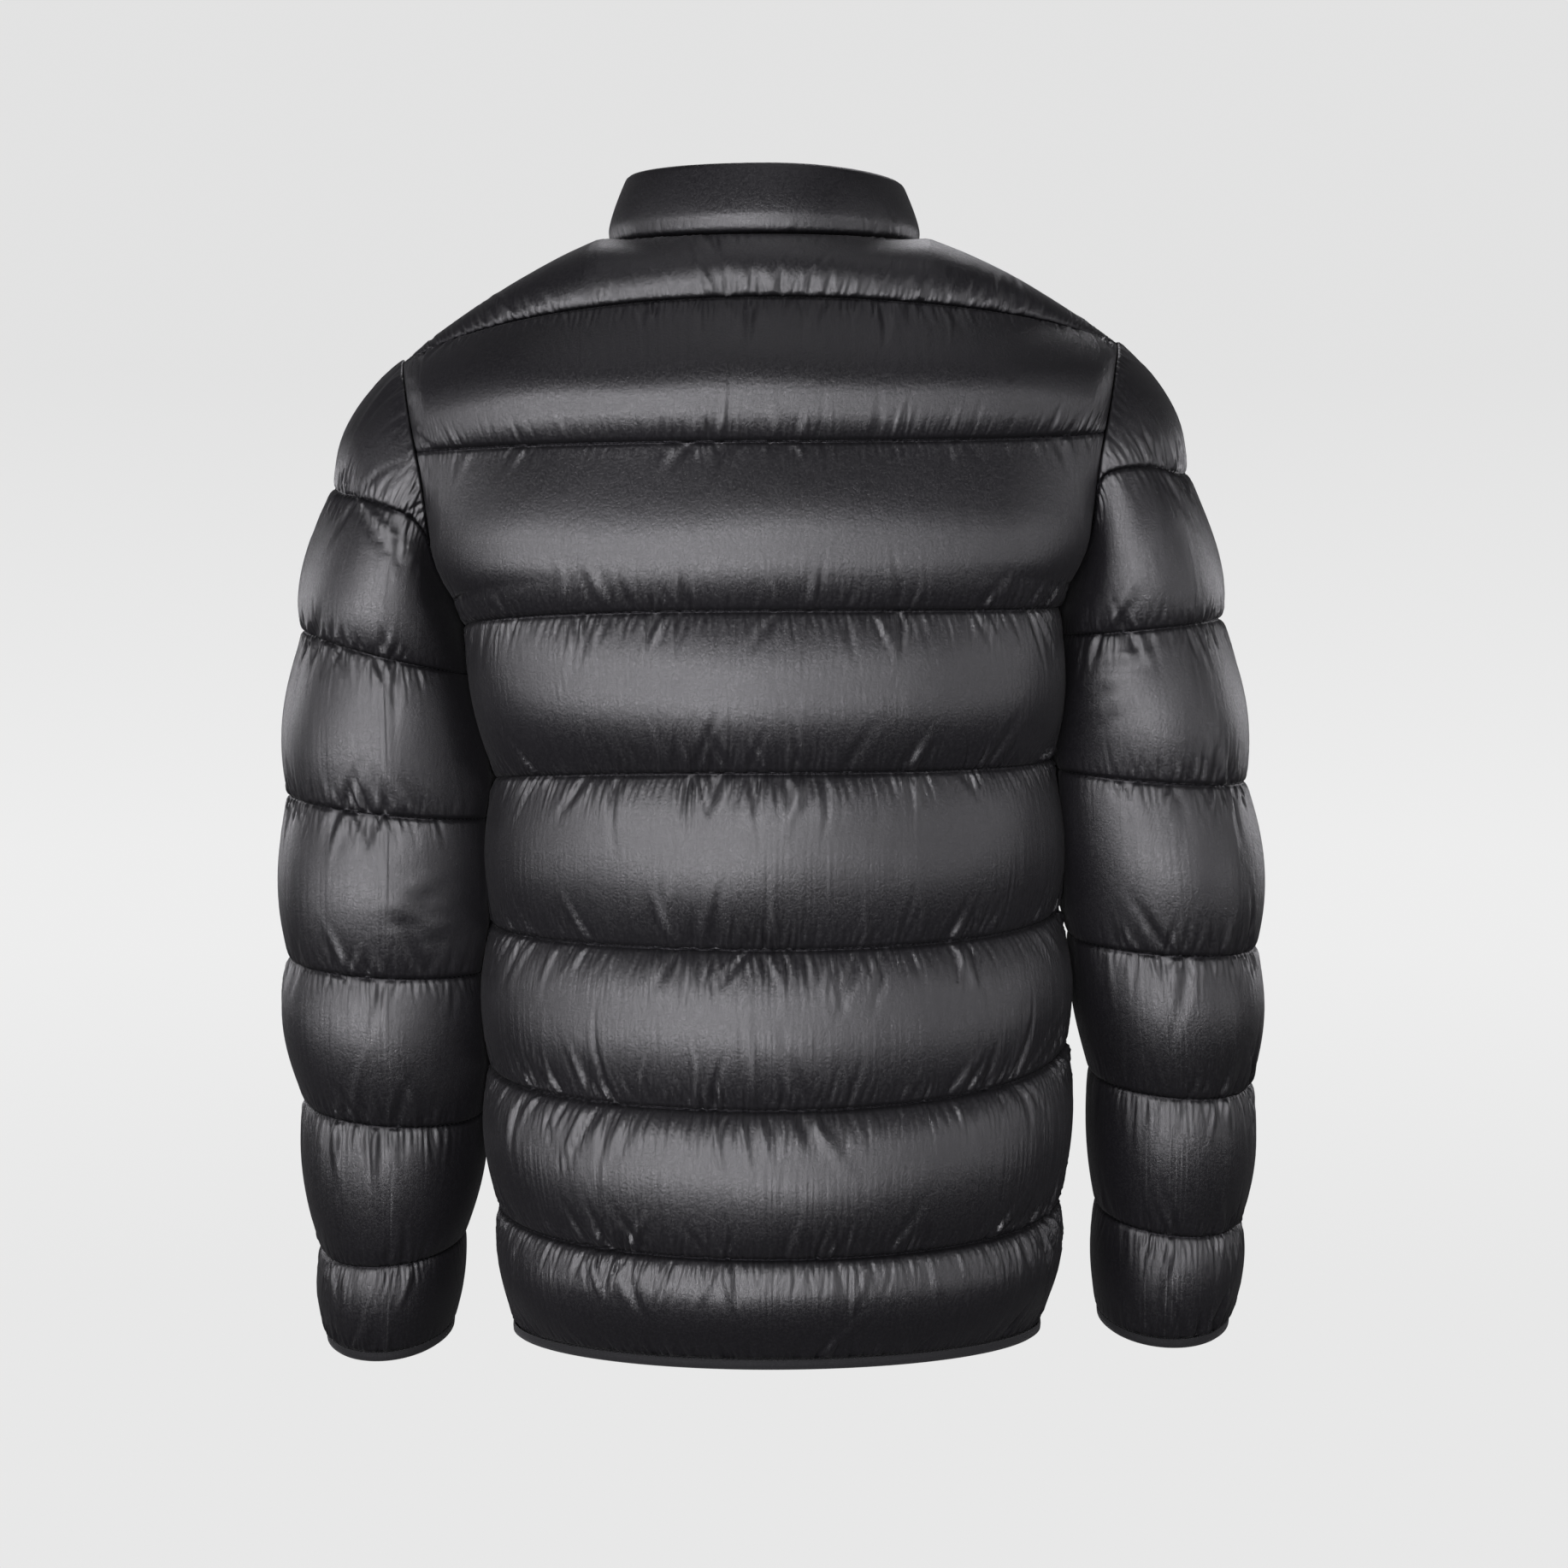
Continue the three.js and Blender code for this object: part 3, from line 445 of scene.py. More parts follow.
def body_inside(face, side, share, line):
    """The plain inside of the body: lines 0 to 1 are the yoke, and 1 to 8 the panels."""
    line, share = np.broadcast_arrays(np.asarray(line, float), np.asarray(share, float))
    first = 1 if face == "back" else 2
    patch = shoulder_patch(face, side, np.full(line.shape, float(first)), share, line - first + 1)
    below = body_section(face, side, np.maximum(line, first), share)
    return np.where((line < first)[..., None], patch, below)


def square_to(inside, u, v, step_u, step_v, centre):
    """Directions square to a surface, on the side that faces away from a centre."""
    along = inside(u + step_u, v) - inside(u - step_u, v)
    down = inside(u, v + step_v) - inside(u, v - step_v)
    normal = unit(np.cross(along, down))
    away = np.sum(normal * (inside(u, v) - centre), axis=-1, keepdims=True)
    return normal * np.where(away < 0, -1, 1)


def below(at, drop):
    """Points on the body's upright axis, lower than the given ones."""
    return stack(0, 0, at[..., 2] - drop)


def sleeve_start(side, clock):
    """The sleeve's seam round the armhole, just outside the flat wall of the body."""
    at = armhole(side, clock)
    turn = np.minimum(clock, 360 - clock)
    shift = np.zeros(np.shape(clock))
    for face in ("back", "front"):
        line = column(ARMHOLE_LINES, face, "line", turn)
        inside = partial(body_inside, face, side)
        normal = square_to(inside, np.ones_like(line), line, *FINE_STEPS, below(at, 60))
        here = (clock <= 180) == (face == "back")
        shift = np.where(here, SEAM_WALL * normal[..., 0], shift)
    at[..., 0] += shift + SIDE_SIGN[side] * ARMHOLE_GAP
    return at


def sleeve_section(side, line, clock):
    """The plain inside of a sleeve on lines from the second on, by clock angle round it."""
    rows = SLEEVE_ROWS[side]
    x_out, z_out, x_in, z_in, y, depth, tilt = (
        column(rows, "line", name, line) for name in SLEEVE_COLUMNS.split()[1:]
    )
    across = np.cos(np.radians(clock))
    back = depth * np.sin(np.radians(clock))
    return stack(
        SIDE_SIGN[side] * ((x_out + x_in) / 2 + (x_out - x_in) / 2 * across),
        y + back,
        (z_out + z_in) / 2 + (z_out - z_in) / 2 * across - np.tan(np.radians(tilt)) * back,
    )


def clear_of_body(side, at, margin):
    """Points of a sleeve, moved outwards where they would reach into the side of the body."""
    depth = SIDE_ROWS["z_" + side][0] - at[..., 2]
    line = np.interp(-at[..., 2], -SIDE_ROWS["z_" + side], SIDE_ROWS["line"])
    reach = np.where(
        at[..., 1] > 0,
        column(BODY_ROWS, "line", "y_back", line),
        column(BODY_ROWS, "line", "y_front", line),
    )
    width = column(SIDE_ROWS, "line", "x_" + side, line)
    width = width * np.sqrt(np.clip(1 - (at[..., 1] / reach) ** 2, 0, None))
    puff = CLEAR_SEAM + (1 - CLEAR_SEAM) * np.sin(np.pi * (line % 1)) ** PILLOW_POWER
    limit = width + SEAM_WALL + CLEAR_LOFT * puff * smooth(0, CLEAR_GROWTH, depth) + margin
    own = SIDE_SIGN[side] * at[..., 0]
    pushed = (own + limit + np.hypot(own - limit, CLEAR_ROUNDING)) / 2
    moved = at.copy()
    moved[..., 0] = SIDE_SIGN[side] * np.where(depth > 0, pushed, own)
    return moved


def sleeve_inside(side, clock, line):
    """The plain inside of a whole sleeve: lines 0 to 2 are the cap, and 2 to 7 the tube."""
    line, clock = np.broadcast_arrays(np.asarray(line, float), np.asarray(clock, float))
    tube = sleeve_section(side, np.maximum(line, 2), clock)
    a = sleeve_start(side, clock)
    b = sleeve_section(side, np.full(line.shape, 2.0), clock)
    reach = CAP_PULL * length(a - b)[..., None]
    slope = math.radians(CAP_SLOPE)
    leave = np.array([SIDE_SIGN[side] * math.cos(slope), 0, -math.sin(slope)])
    arrive = unit(sleeve_section(side, np.full(line.shape, 2.02), clock) - b)
    cap = hermite(a, leave * reach, b, arrive * reach, (line / 2)[..., None])
    at = np.where((line >= 2)[..., None], tube, cap)
    cleared = clear_of_body(side, at, CLEAR_WALL)
    return np.where((line > CLEAR_START)[..., None], cleared, at)


def cap_line(side, clock):
    """The level of a sleeve's first quilt line, which runs out into the armhole seam."""
    turn = np.minimum(clock, 360 - clock)
    level = 1 - (turn / CAP_LINE[side]) ** CAP_LINE["power"]
    least = CAP_LINE["least"]
    return (level + least + np.hypot(level - least, CAP_LINE["rounding"])) / 2


def collar_inside(side, angle, share):
    """The plain inside of the stand collar, with share 0 at the neckline and 1 at the top."""
    foot = neckline(side, angle)
    end = np.where(angle > 90, COLLAR["front"], COLLAR["back"])
    drop = np.cos(np.radians(angle)) ** 2
    height = COLLAR[side] + (end - COLLAR[side]) * drop
    width = 1 - (1 - COLLAR["taper"]) * share
    near_zip = (angle > 90) & (np.abs(foot[..., 0]) <= ZIP_OPENING + 1)
    return stack(
        foot[..., 0] * np.where(near_zip, 1, width),
        foot[..., 1] * width,
        foot[..., 2] + COLLAR["lift"] + height * share,
    )


def neck_seam_direction(at):
    """The direction in which the collar and the pieces below it are both thick at their seam."""
    flat = unit(at * np.array([1.0, 1.0, 0.0]))
    return flat * 0.8 + np.array([0.0, 0.0, 0.6])


def channel_rows(first, last):
    """Channel and place in it of each row of a grid, closer together beside the seams."""
    even = np.arange(ROW_STEPS) / ROW_STEPS
    eased = (1 - np.cos(np.pi * even)) / 2
    t = 0.25 * even + 0.75 * eased
    channel = np.repeat(np.arange(first, last), ROW_STEPS)
    return np.append(channel, last - 1), np.append(np.tile(t, last - first), 1.0)


def distance_along(points, axis=0):
    """Distance along each line of points, from 0 at its start."""
    start = np.take(points, [0], axis)
    return np.cumsum(length(np.diff(points, axis=axis, prepend=start)), axis)


class Relief:
    """Wrinkles of the outer cloth over a grid, in millimetres.

    The grid's rows run away from a seam and its columns lie at x along the seam.
    """

    def __init__(self, seed, x, shape, closed=False):
        self.rng = np.random.default_rng(seed)
        self.x = x
        self.girth = 2 * x[-1] - x[-2] - x[0] if closed else None
        self.span = self.girth or x[-1] - x[0]
        self.height = np.zeros(shape)

    def crease(self, rows, d, at, lean, bend, reach, width, depth):
        """Adds one crease that starts on a seam, at a distance d of 0, and runs out from it."""
        offset = self.x - at
        if self.girth:
            offset = (offset + self.girth / 2) % self.girth - self.girth / 2
        beside = 4.5 * width + 2.2 * (abs(lean) + 2.2 * abs(bend)) * reach
        near = np.nonzero(np.abs(offset) < beside)[0]
        if not len(near):
            return
        block = np.ix_(rows, near)
        away = d[block]
        aside = lean * away + bend * away**2 / reach
        narrowing = np.clip(1.2 - 0.55 * away / reach, 0.45, None)
        across = (offset[near] - aside) / (width * narrowing)
        peak = CREASE_PEAK * reach
        along = away / peak * np.exp(1 - away / peak)
        ridge = np.exp(-across**2) - 0.45 * np.exp(-(across / 2) ** 2)
        self.height[block] += depth * along * ridge

    def seam(self, sides, gap, spread, lean_out=0.0, weight=1.0):
        """Gathers and longer creases along one seam, on each side of it that has cloth."""
        rng, start = self.rng, self.x[0]
        size = weight**0.6
        phase = rng.uniform(0, TAU, len(FULLNESS_WAVES))
        for kind, pitch, astray in ((GATHER, gap, 0.5), (CREASE, spread, 0.3 * spread)):
            at = start
            while at < start + self.span:
                total = sum(np.sin(TAU * at / wave + p) for wave, p in zip(FULLNESS_WAVES, phase))
                full = float(np.clip(0.74 + 0.22 * total, 0.4, 1.25))
                fan = lean_out * (at - start - self.span / 2) / (self.span / 2)
                for rows, d in sides:
                    sign, longest, rare = -1, kind["longest"], kind["rare"]
                    if kind is CREASE:
                        if rng.random() >= 0.8 * full:
                            continue
                        sign = 1 if rng.random() < 0.35 else -1
                        longest *= full
                    self.crease(
                        rows, d, at + rng.normal(0, astray),
                        0.75 * fan + rng.normal(0, kind["lean"]),
                        0.3 * fan + rng.normal(0, kind["bend"]),
                        size * (rng.uniform(*kind["reach"]) + longest * rng.random() ** rare),
                        rng.uniform(*kind["width"]),
                        sign * weight * full * rng.uniform(*kind["depth"]),
                    )
                at += rng.uniform(*kind["step"]) * pitch

    def fold(self, y, at, turn, reach, width, depth):
        """Adds one free fold that lies round a point of the grid, turned from level in degrees."""
        side = self.x[None, :] - at[0]
        drop = y - at[1]
        turn = math.radians(turn)
        along = side * math.cos(turn) + drop * math.sin(turn)
        across = (drop * math.cos(turn) - side * math.sin(turn)) / width
        ridge = np.exp(-across**2) - 0.6 * np.exp(-(across / 1.6 - 1) ** 2)
        self.height += depth * np.exp(-(along / reach) ** 2) * ridge

    def waves(self, rows, low, high, count):
        """A slow uneven field over some rows, roughly between -1 and 1."""
        y = np.linspace(0, 1, rows)[:, None]
        girth = self.girth or 2 * self.x[-1]
        total = 0.0
        for _ in range(count):
            turns = max(1, round(girth / self.rng.uniform(low, high)))
            phase, sway = self.rng.uniform(0, TAU), self.rng.uniform(-2.5, 2.5)
            total = total + np.cos(TAU * self.x[None, :] / (girth / turns) + phase + sway * y)
        return total / count**0.5

    def limited(self):
        """The wrinkles with the deepest ones held back softly."""
        return WRINKLE_LIMIT * np.tanh(self.height / WRINKLE_LIMIT)


class Quilting(Relief):
    """The outer cloth's relief over one quilted piece, whose rows run down its channels.

    A row lies at t in its channel, from 0 on the upper seam to 1 on the lower one.
    """

    def __init__(self, seed, x, channel, t, heights, closed=False):
        self.channel, self.t = channel, t
        self.high = heights[channel - channel[0]]
        self.drop = t[:, None] * self.high
        self.rise = (1 - t)[:, None] * self.high
        super().__init__(seed, x, self.high.shape, closed)

    def near_seam(self, width):
        """How near each point is to a seam, from 1 on it to 0 beyond the given width."""
        return np.exp(-(np.minimum(self.drop, self.rise) / width) ** 2)

    def swell(self, end, loft, sag):
        """Swell of the filling over the flat seams, uneven along and across each channel."""
        swell = np.zeros(self.height.shape)
        loft = np.broadcast_to(loft, swell.shape)
        for k in np.unique(self.channel):
            rows = np.nonzero(self.channel == k)[0]
            hang = self.t[rows][:, None] ** (sag[k] + 0.05 * self.waves(len(rows), 120, 300, 3))
            uneven = 1 + 0.045 * self.waves(len(rows), 110, 320, 4)
            full = np.minimum(1, self.high[rows] / FULL_CHANNEL) * uneven
            shape = np.clip(np.sin(np.pi * hang) * end[rows], 0, None) ** PILLOW_POWER
            swell[rows] = loft[rows] * full * shape
        return swell - SEAM_GROOVE * self.near_seam(GROOVE_WIDTH)

    def stitch(self, gap, spread, lean_out, weights):
        """Wrinkles on both sides of every seam of the piece."""
        first, last = self.channel[0], self.channel[-1] + 1
        for seam in range(first, last + 1):
            above, under = (np.nonzero(self.channel == k)[0] for k in (seam - 1, seam))
            sides = [side for side in ((above, self.rise), (under, self.drop)) if len(side[0])]
            self.seam(sides, gap, spread, lean_out, weights[seam - first])

    def edge_creases(self, along, end, keep):
        """Short wrinkles square to a side seam or armhole, where the cloth is eased into it."""
        turned = Relief(self.rng.integers(1 << 30), along, self.height.T.shape)
        turned.seam([(np.nonzero(keep)[0], end.T)], *EDGE_GATHERS)
        self.height += turned.height.T


def mesh_object(name, vertices, faces, uv=None):
    """A smooth-shaded closed object at the origin from points in millimetres."""
    mesh = bpy.data.meshes.new(name)
    mesh.from_pydata((vertices * MM).tolist(), [], faces)
    if uv is not None:
        layer = mesh.uv_layers.new(name="cloth")
        index = np.empty(len(mesh.loops), dtype=np.int32)
        mesh.loops.foreach_get("vertex_index", index)
        layer.data.foreach_set("uv", (uv[index] * MM).astype(np.float32).ravel())
    mesh.polygons.foreach_set("use_smooth", np.ones(len(mesh.polygons), dtype=bool))
    mesh.update()
    if signed_volume(mesh) < 0:
        mesh.flip_normals()
    obj = bpy.data.objects.new(name, mesh)
    bpy.context.scene.collection.objects.link(obj)
    return obj


def signed_volume(mesh):
    """Volume inside a closed mesh, below 0 where its faces point inwards."""
    mesh.calc_loop_triangles()
    corners = np.empty(3 * len(mesh.loop_triangles), dtype=np.int32)
    mesh.loop_triangles.foreach_get("vertices", corners)
    at = np.empty(3 * len(mesh.vertices))
    mesh.vertices.foreach_get("co", at)
    a, b, c = at.reshape(-1, 3)[corners].reshape(-1, 3, 3).transpose(1, 0, 2)
    return float(np.sum(a * np.cross(b, c)))


def grid_faces(index, closed):
    """Quads over a grid of vertex numbers, which may close on itself sideways."""
    right = np.roll(index, -1, axis=1)
    quads = np.stack([index[:-1], index[1:], right[1:], right[:-1]], axis=-1)
    return (quads if closed else quads[:, :-1]).reshape(-1, 4)


def wall_object(name, quilting, outer, at, normal, rounding, closed=False):
    """A closed padded wall: its outer cloth, and a coarser lining that swells inwards a little."""
    few = slice(None, None, LINING_EVERY)
    puff = np.sin(np.pi * quilting.t)[:, None] * rounding * LINING_SWELL
    lining = (at - normal * puff[..., None])[few, few]
    rows, columns = outer.shape[:2]
    front = np.arange(rows * columns).reshape(rows, columns)
    back = rows * columns + np.arange(lining[..., 0].size).reshape(lining.shape[:2])
    faces = grid_faces(front, closed).tolist() + grid_faces(back, closed)[:, ::-1].tolist()

    def rim(edge, inside, turned, loop=False):
        edge, inside = list(edge), list(inside)
        if loop:
            edge.append(edge[0])
            inside.append(inside[0])
        for i in range(len(inside) - 1):
            face = edge[i * LINING_EVERY:(i + 1) * LINING_EVERY + 1] + [inside[i + 1], inside[i]]
            faces.append([int(v) for v in (face[::-1] if turned else face)])

    rim(front[0], back[0], False, closed)
    rim(front[-1], back[-1], True, closed)
    if not closed:
        rim(front[:, 0], back[:, 0], True)
        rim(front[:, -1], back[:, -1], False)
    along = distance_along(outer, 1).mean(axis=0)
    uv = stack(along, distance_along(outer), 0)[..., :2]
    uv = np.concatenate([uv.reshape(-1, 2), uv[few, few].reshape(-1, 2)])
    vertices = np.concatenate([outer.reshape(-1, 3), lining.reshape(-1, 3)])
    obj = mesh_object(name, vertices, faces, uv)
    # Painted shade on the outer cloth: 1 on its seams and fading to 0 beside them, which its
    # material turns into a metal that reflects nothing
    painted_shade = np.zeros(len(uv), dtype=np.float32)
    painted_shade[:rows * columns] = quilting.near_seam(PAINTED_SHADE_WIDTH).ravel()
    obj.data.attributes.new("seam", "FLOAT", "POINT").data.foreach_set("value", painted_shade)
    return obj


def points_at(at, along, path):
    """Points of a path at given distances along it."""
    return stack(*(np.interp(at, along, path[:, i]) for i in range(3)))


def stitches(name, seams):
    """Lock stitches along seams, each a small spindle of thread that lies in its groove."""
    points, faces = [], []
    sides = ((1, 2), (2, 3), (3, 4), (4, 1))
    spindle = [(0, b, a) for a, b in sides] + [(5, a, b) for a, b in sides]
    for path, out in seams:
        along = distance_along(path)
        at = np.arange(STITCH["margin"], along[-1] - STITCH["margin"], STITCH["pitch"])
        reach = STITCH["length"] / 2
        start, middle, end = (points_at(at + way * reach, along, path) for way in (-1, 0, 1))
        up = unit(points_at(at, along, out))
        across = unit(np.cross(up, end - start))
        lift = up * STITCH["lift"]
        ring = [middle + lift + v * STITCH["radius"] for v in (across, up, -across, -up)]
        first = sum(len(p) for p in points)
        spindles = np.stack([start + lift * 0.2, *ring, end + lift * 0.2], axis=1)
        points.append(spindles.reshape(-1, 3))
        for k in range(len(at)):
            faces += [[first + 6 * k + v for v in corner] for corner in spindle]
    return mesh_object(name, np.concatenate(points), faces)


def both_sides(surface, across, v):
    """Points of a surface on both sides of the jacket, the right one where across is below 0."""
    left, right = (surface(side, np.abs(across), v) for side in ("left", "right"))
    return np.where((np.broadcast_to(across, left.shape[:-1]) < 0)[..., None], right, left)


def rounded(end):
    """The share of its full swell that a channel has at a distance from its end."""
    return np.sin(0.5 * np.pi * np.clip(end / END_ROUNDING, 0, 1))


def body_panel(name, face, lines, columns, loft, seed, side=None, meets_neck=False):
    """A quilted panel of the body, from one of its lines to another."""
    first, last = lines
    half = SEAM_GAP / 2
    edge = 1 - half / HALF_GIRTH
    share = np.clip(np.linspace(0 if side else -1, 1, columns + 1), -edge, edge)[None, :]
    channel, t = channel_rows(first, last)
    surface = partial(body_inside, face)
    inside = partial(surface, side) if side else partial(both_sides, surface)
    seams = inside(share, np.arange(first, last + 1.0)[:, None])
    relief = Quilting(seed, share[0] * HALF_GIRTH, channel, t, length(np.diff(seams, axis=0)))
    trim = half / relief.high
    line = np.clip((channel + t)[:, None], first + trim, last - trim * (last != HEM_LINE))
    at = inside(share, line)
    end = np.broadcast_to((1 - np.abs(share)) * HALF_GIRTH, line.shape)
    if side:
        from_zip = np.abs(at[..., 0]) - ZIP_OPENING - ZIP_FLAT_STRIP
        end = np.clip(np.minimum(end, from_zip), 0, None)
    normal = square_to(inside, share, line, *FINE_STEPS, below(at, 60))
    if meets_neck:
        near = smooth(NECK_SHARE + 0.12, NECK_SHARE, np.abs(share)) * smooth(0.3, 0, line - first)
        normal = unit(normal + (neck_seam_direction(at) - normal) * near[..., None])
    rounding = rounded(end)
    fading = 1 - SIDE_FADE * smooth(0.55, 1, np.abs(share))
    swell = relief.swell(rounding, loft * fading, BODY_SAG)
    relief.stitch(*BODY_GATHERS, SEAM_WEIGHTS[first:last + 1])
    depth = distance_along(at)
    for sign in ([1] if side else [-1, 1]):
        relief.edge_creases(depth.mean(axis=1), end, share[0] * sign > 0.4)
    if face == "back":
        for fold in BACK_FOLDS:
            relief.fold(depth, *fold)
    wrinkles = relief.limited() * np.clip(end / EDGE_FADE, 0, 1)
    wrinkles *= np.clip(relief.high / NARROW_CHANNEL, 0, 1)
    outer = at + normal * (SEAM_WALL + swell + wrinkles)[..., None]
    seams = [(outer[i], normal[i]) for i in range(0, len(t), ROW_STEPS)]
    return wall_object(name, relief, outer, at, normal, rounding), seams


def sleeve(side, loft, seed):
    """A whole quilted sleeve, from the armhole to the cuff binding."""
    channel, t = channel_rows(0, CUFF_LINE)
    clock = np.arange(SLEEVE_GRID)[None, :] * (360 / SLEEVE_GRID)
    inside = partial(sleeve_inside, side)
    first = cap_line(side, clock)

    def line_of(k, place):
        level = np.where(k == 0, first * place, first + (2 - first) * place)
        return np.where(k > 1, k + place, level)

    line = line_of(channel[:, None], t[:, None])
    at = inside(clock, line)
    seams = np.concatenate([
        inside(clock, line_of(np.arange(CUFF_LINE)[:, None], 0.0)),
        inside(clock, np.full(clock.shape, float(CUFF_LINE))),
    ])
    centre = (at + np.roll(at, SLEEVE_GRID // 2, axis=1)) / 2
    normal = square_to(inside, clock, np.maximum(line, 0.02), *ROUND_STEPS, centre)
    rise = RIGHT_ARMHOLE["raise"] if side == "right" else 0
    radial = unit((at - np.array([0, 0, ARMHOLE_CENTRE_Z + rise])) * np.array([0, 1, 1]))
    normal = unit(radial + (normal - radial) * smooth(0, 0.6, line)[..., None])
    inner_side = smooth(-0.1, -0.85, np.cos(np.radians(clock)))
    heights = length(np.diff(seams, axis=0))
    # The sleeve's girth is taken as 360 mm, so that x along its seams is the clock angle
    relief = Quilting(seed, clock[0], channel, t, heights, closed=True)
    from_seam = length(at - at[:1])
    ease = smooth(0, CAP_EASE, from_seam)
    lofts = loft * (1 - (1 - INNER_SIDE_LOFT) * inner_side) * (0.25 + 0.75 * ease)
    full = np.ones(line.shape)
    swell = relief.swell(full, lofts, SLEEVE_SAG)
    relief.stitch(*SLEEVE_GATHERS, SLEEVE_WEIGHTS)
    for (angle, level, below_seam), *shape in SLEEVE_FOLDS[side]:
        y = np.where((channel == level)[:, None], relief.drop, 1e3)
        relief.fold(y, (angle, below_seam), *shape)
    calm = (1 - 0.8 * inner_side) * np.clip(0.55 + from_seam / 60, 0, 1)
    wall = SEAM_WALL + (SLEEVE_WALL - SEAM_WALL) * ease
    outer = at + normal * (wall + swell + relief.limited() * calm)[..., None]
    outer = np.where((line > CLEAR_START)[..., None], clear_of_body(side, outer, CLEAR_GAP), outer)
    seams = [
        (np.concatenate([outer[i], outer[i][:1]]), np.concatenate([normal[i], normal[i][:1]]))
        for i in range(ROW_STEPS, len(t), ROW_STEPS)
    ]
    name = "sleeve_" + side + "_cloth"
    return wall_object(name, relief, outer, at, normal, full, closed=True), seams


def neck_turns(count):
    """Angles from one side of the zip round the neck to the other, below 0 on the right."""
    half = {side: np.concatenate([
        np.linspace(0, 90, count + 1), np.linspace(90, zip_angle(side), count + 1)[1:],
    ]) for side in ("left", "right")}
    return np.concatenate([-half["right"][::-1], half["left"][1:]])


def collar(loft, seed):
    """The stand collar, one quilted channel that carries on over its top edge."""
    turn = neck_turns(COLLAR_GRID // 4)[None, :]
    channel, t = channel_rows(0, 1)
    share = t[:, None]
    surface = partial(both_sides, collar_inside)
    at = surface(turn, share)
    end = np.where(np.abs(turn) < 120, END_ROUNDING, np.abs(at[..., 0]) - ZIP_FLAT_STRIP)
    end = np.clip(end, 0, None)
    normal = square_to(surface, turn, share, 0.1, 0.01, stack(0, 0, at[..., 2]))
    direction = neck_seam_direction(at)
    direction = unit(direction + (normal - direction) * smooth(0, 0.3, share)[..., None])
    rounding = rounded(end)
    x = distance_along(at[len(t) // 2])
    height = length(surface(turn, 0.0) - surface(turn, 1.0))
    relief = Quilting(seed, x - x[-1] / 2, channel, t, height)
    swell = relief.swell(rounding, loft, COLLAR_SAG)
    relief.stitch(*COLLAR_GATHERS, COLLAR_WEIGHTS)
    wrinkles = COLLAR_CALM * relief.height * np.clip(end / EDGE_FADE, 0, 1)
    wall = SEAM_WALL + (COLLAR["top_wall"] - SEAM_WALL) * share
    outer = at + direction * (wall + swell + wrinkles)[..., None]
    return wall_object("collar_cloth", relief, outer, at, direction, rounding)


def strip_object(name, rings, closed):
    """A closed strip from its cross sections, each a ring of points round the strip."""
    stations, count = rings.shape[:2]
    index = np.arange(stations * count).reshape(stations, count)
    faces = grid_faces(index, True).tolist()
    if closed:
        faces += grid_faces(index[[-1, 0]], True).tolist()
    else:
        faces += [index[0].tolist(), index[-1][::-1].tolist()]
    along = distance_along(rings[:, 0])
    round_it = np.cumsum(length(rings[0] - np.roll(rings[0], 1, axis=0)))
    uv = stack(along[:, None], round_it[None, :], 0)[..., :2].reshape(-1, 2)
    return mesh_object(name, rings.reshape(-1, 3), faces, uv)


def strip_length(rings, closed):
    """Length of a strip along the middle of its sections, in metres."""
    middle = rings.mean(axis=1)
    if closed:
        middle = np.concatenate([middle, middle[:1]])
    return float(distance_along(middle)[-1]) * MM


def binding(name, at, direction, closed):
    """A tape folded round a cut edge, with its seam allowance tucked in."""
    profile = np.array(BINDING_PROFILE)
    step = np.gradient(profile, axis=0)
    side = unit(np.stack([-step[:, 1], step[:, 0]], axis=-1)) * BINDING_CLOTH / 2
    out, down = np.concatenate([profile + side, (profile - side)[::-1]]).T
    rings = at[:, None] + direction[:, None] * out[None, :, None]
    rings = rings + np.array([0, 0, -1.0]) * down[None, :, None]
    obj = strip_object(name, rings, closed)
    cut = float(distance_along(profile)[-1]) * MM
    strip_length(rings, closed)
    return obj


def hem_binding():
    """The binding round the hem, from one side of the zip to the other."""
    share = np.linspace(0, 1, 61)
    places, directions = [], []
    for face, side, across in (
        ("front", "left", share), ("back", "left", share[-2::-1]),
        ("back", "right", share[:-1]), ("front", "right", share[::-1]),
    ):
        inside = partial(body_inside, face, side)
        level = np.full(across.shape, float(HEM_LINE))
        places.append(inside(across, level))
        directions.append(square_to(inside, across, level, *FINE_STEPS, below(places[-1], 0)))
    at, out = np.concatenate(places), np.concatenate(directions)
    keep = np.concatenate([[True], length(np.diff(at, axis=0)) > 0.05])
    return binding("hem_binding_tape", at[keep], out[keep], False)


def cuff_binding(side):
    """The binding round one cuff."""
    clock = np.arange(120) * 3.0
    inside = partial(sleeve_inside, side)
    level = np.full(clock.shape, float(CUFF_LINE))
    at = inside(clock, level)
    centre = (at + np.roll(at, 60, axis=0)) / 2
    out = square_to(inside, clock, level, *ROUND_STEPS, centre)
    return binding("cuff_binding_tape_" + side, at, out, True)


def zip_path(side, count=96):
    """Points down the edge of a front, from the hem to the top of the collar, and beside it."""
    line = np.linspace(HEM_LINE, 1, count)
    share = np.linspace(0, 1, count // 12)
    edge, near = (
        np.concatenate([
            body_inside("front", side, across, line),
            collar_inside(side, np.full(share.shape, zip_angle(side) - turn), share),
        ]) for across, turn in ((0.0, 0.0), (1 / 22, 8.0))
    )
    reach = (np.abs(near[:, 0]) - ZIP_OPENING) / (ZIP_TAPE - ZIP_OPENING)
    return edge, edge + (near - edge) / reach[:, None]


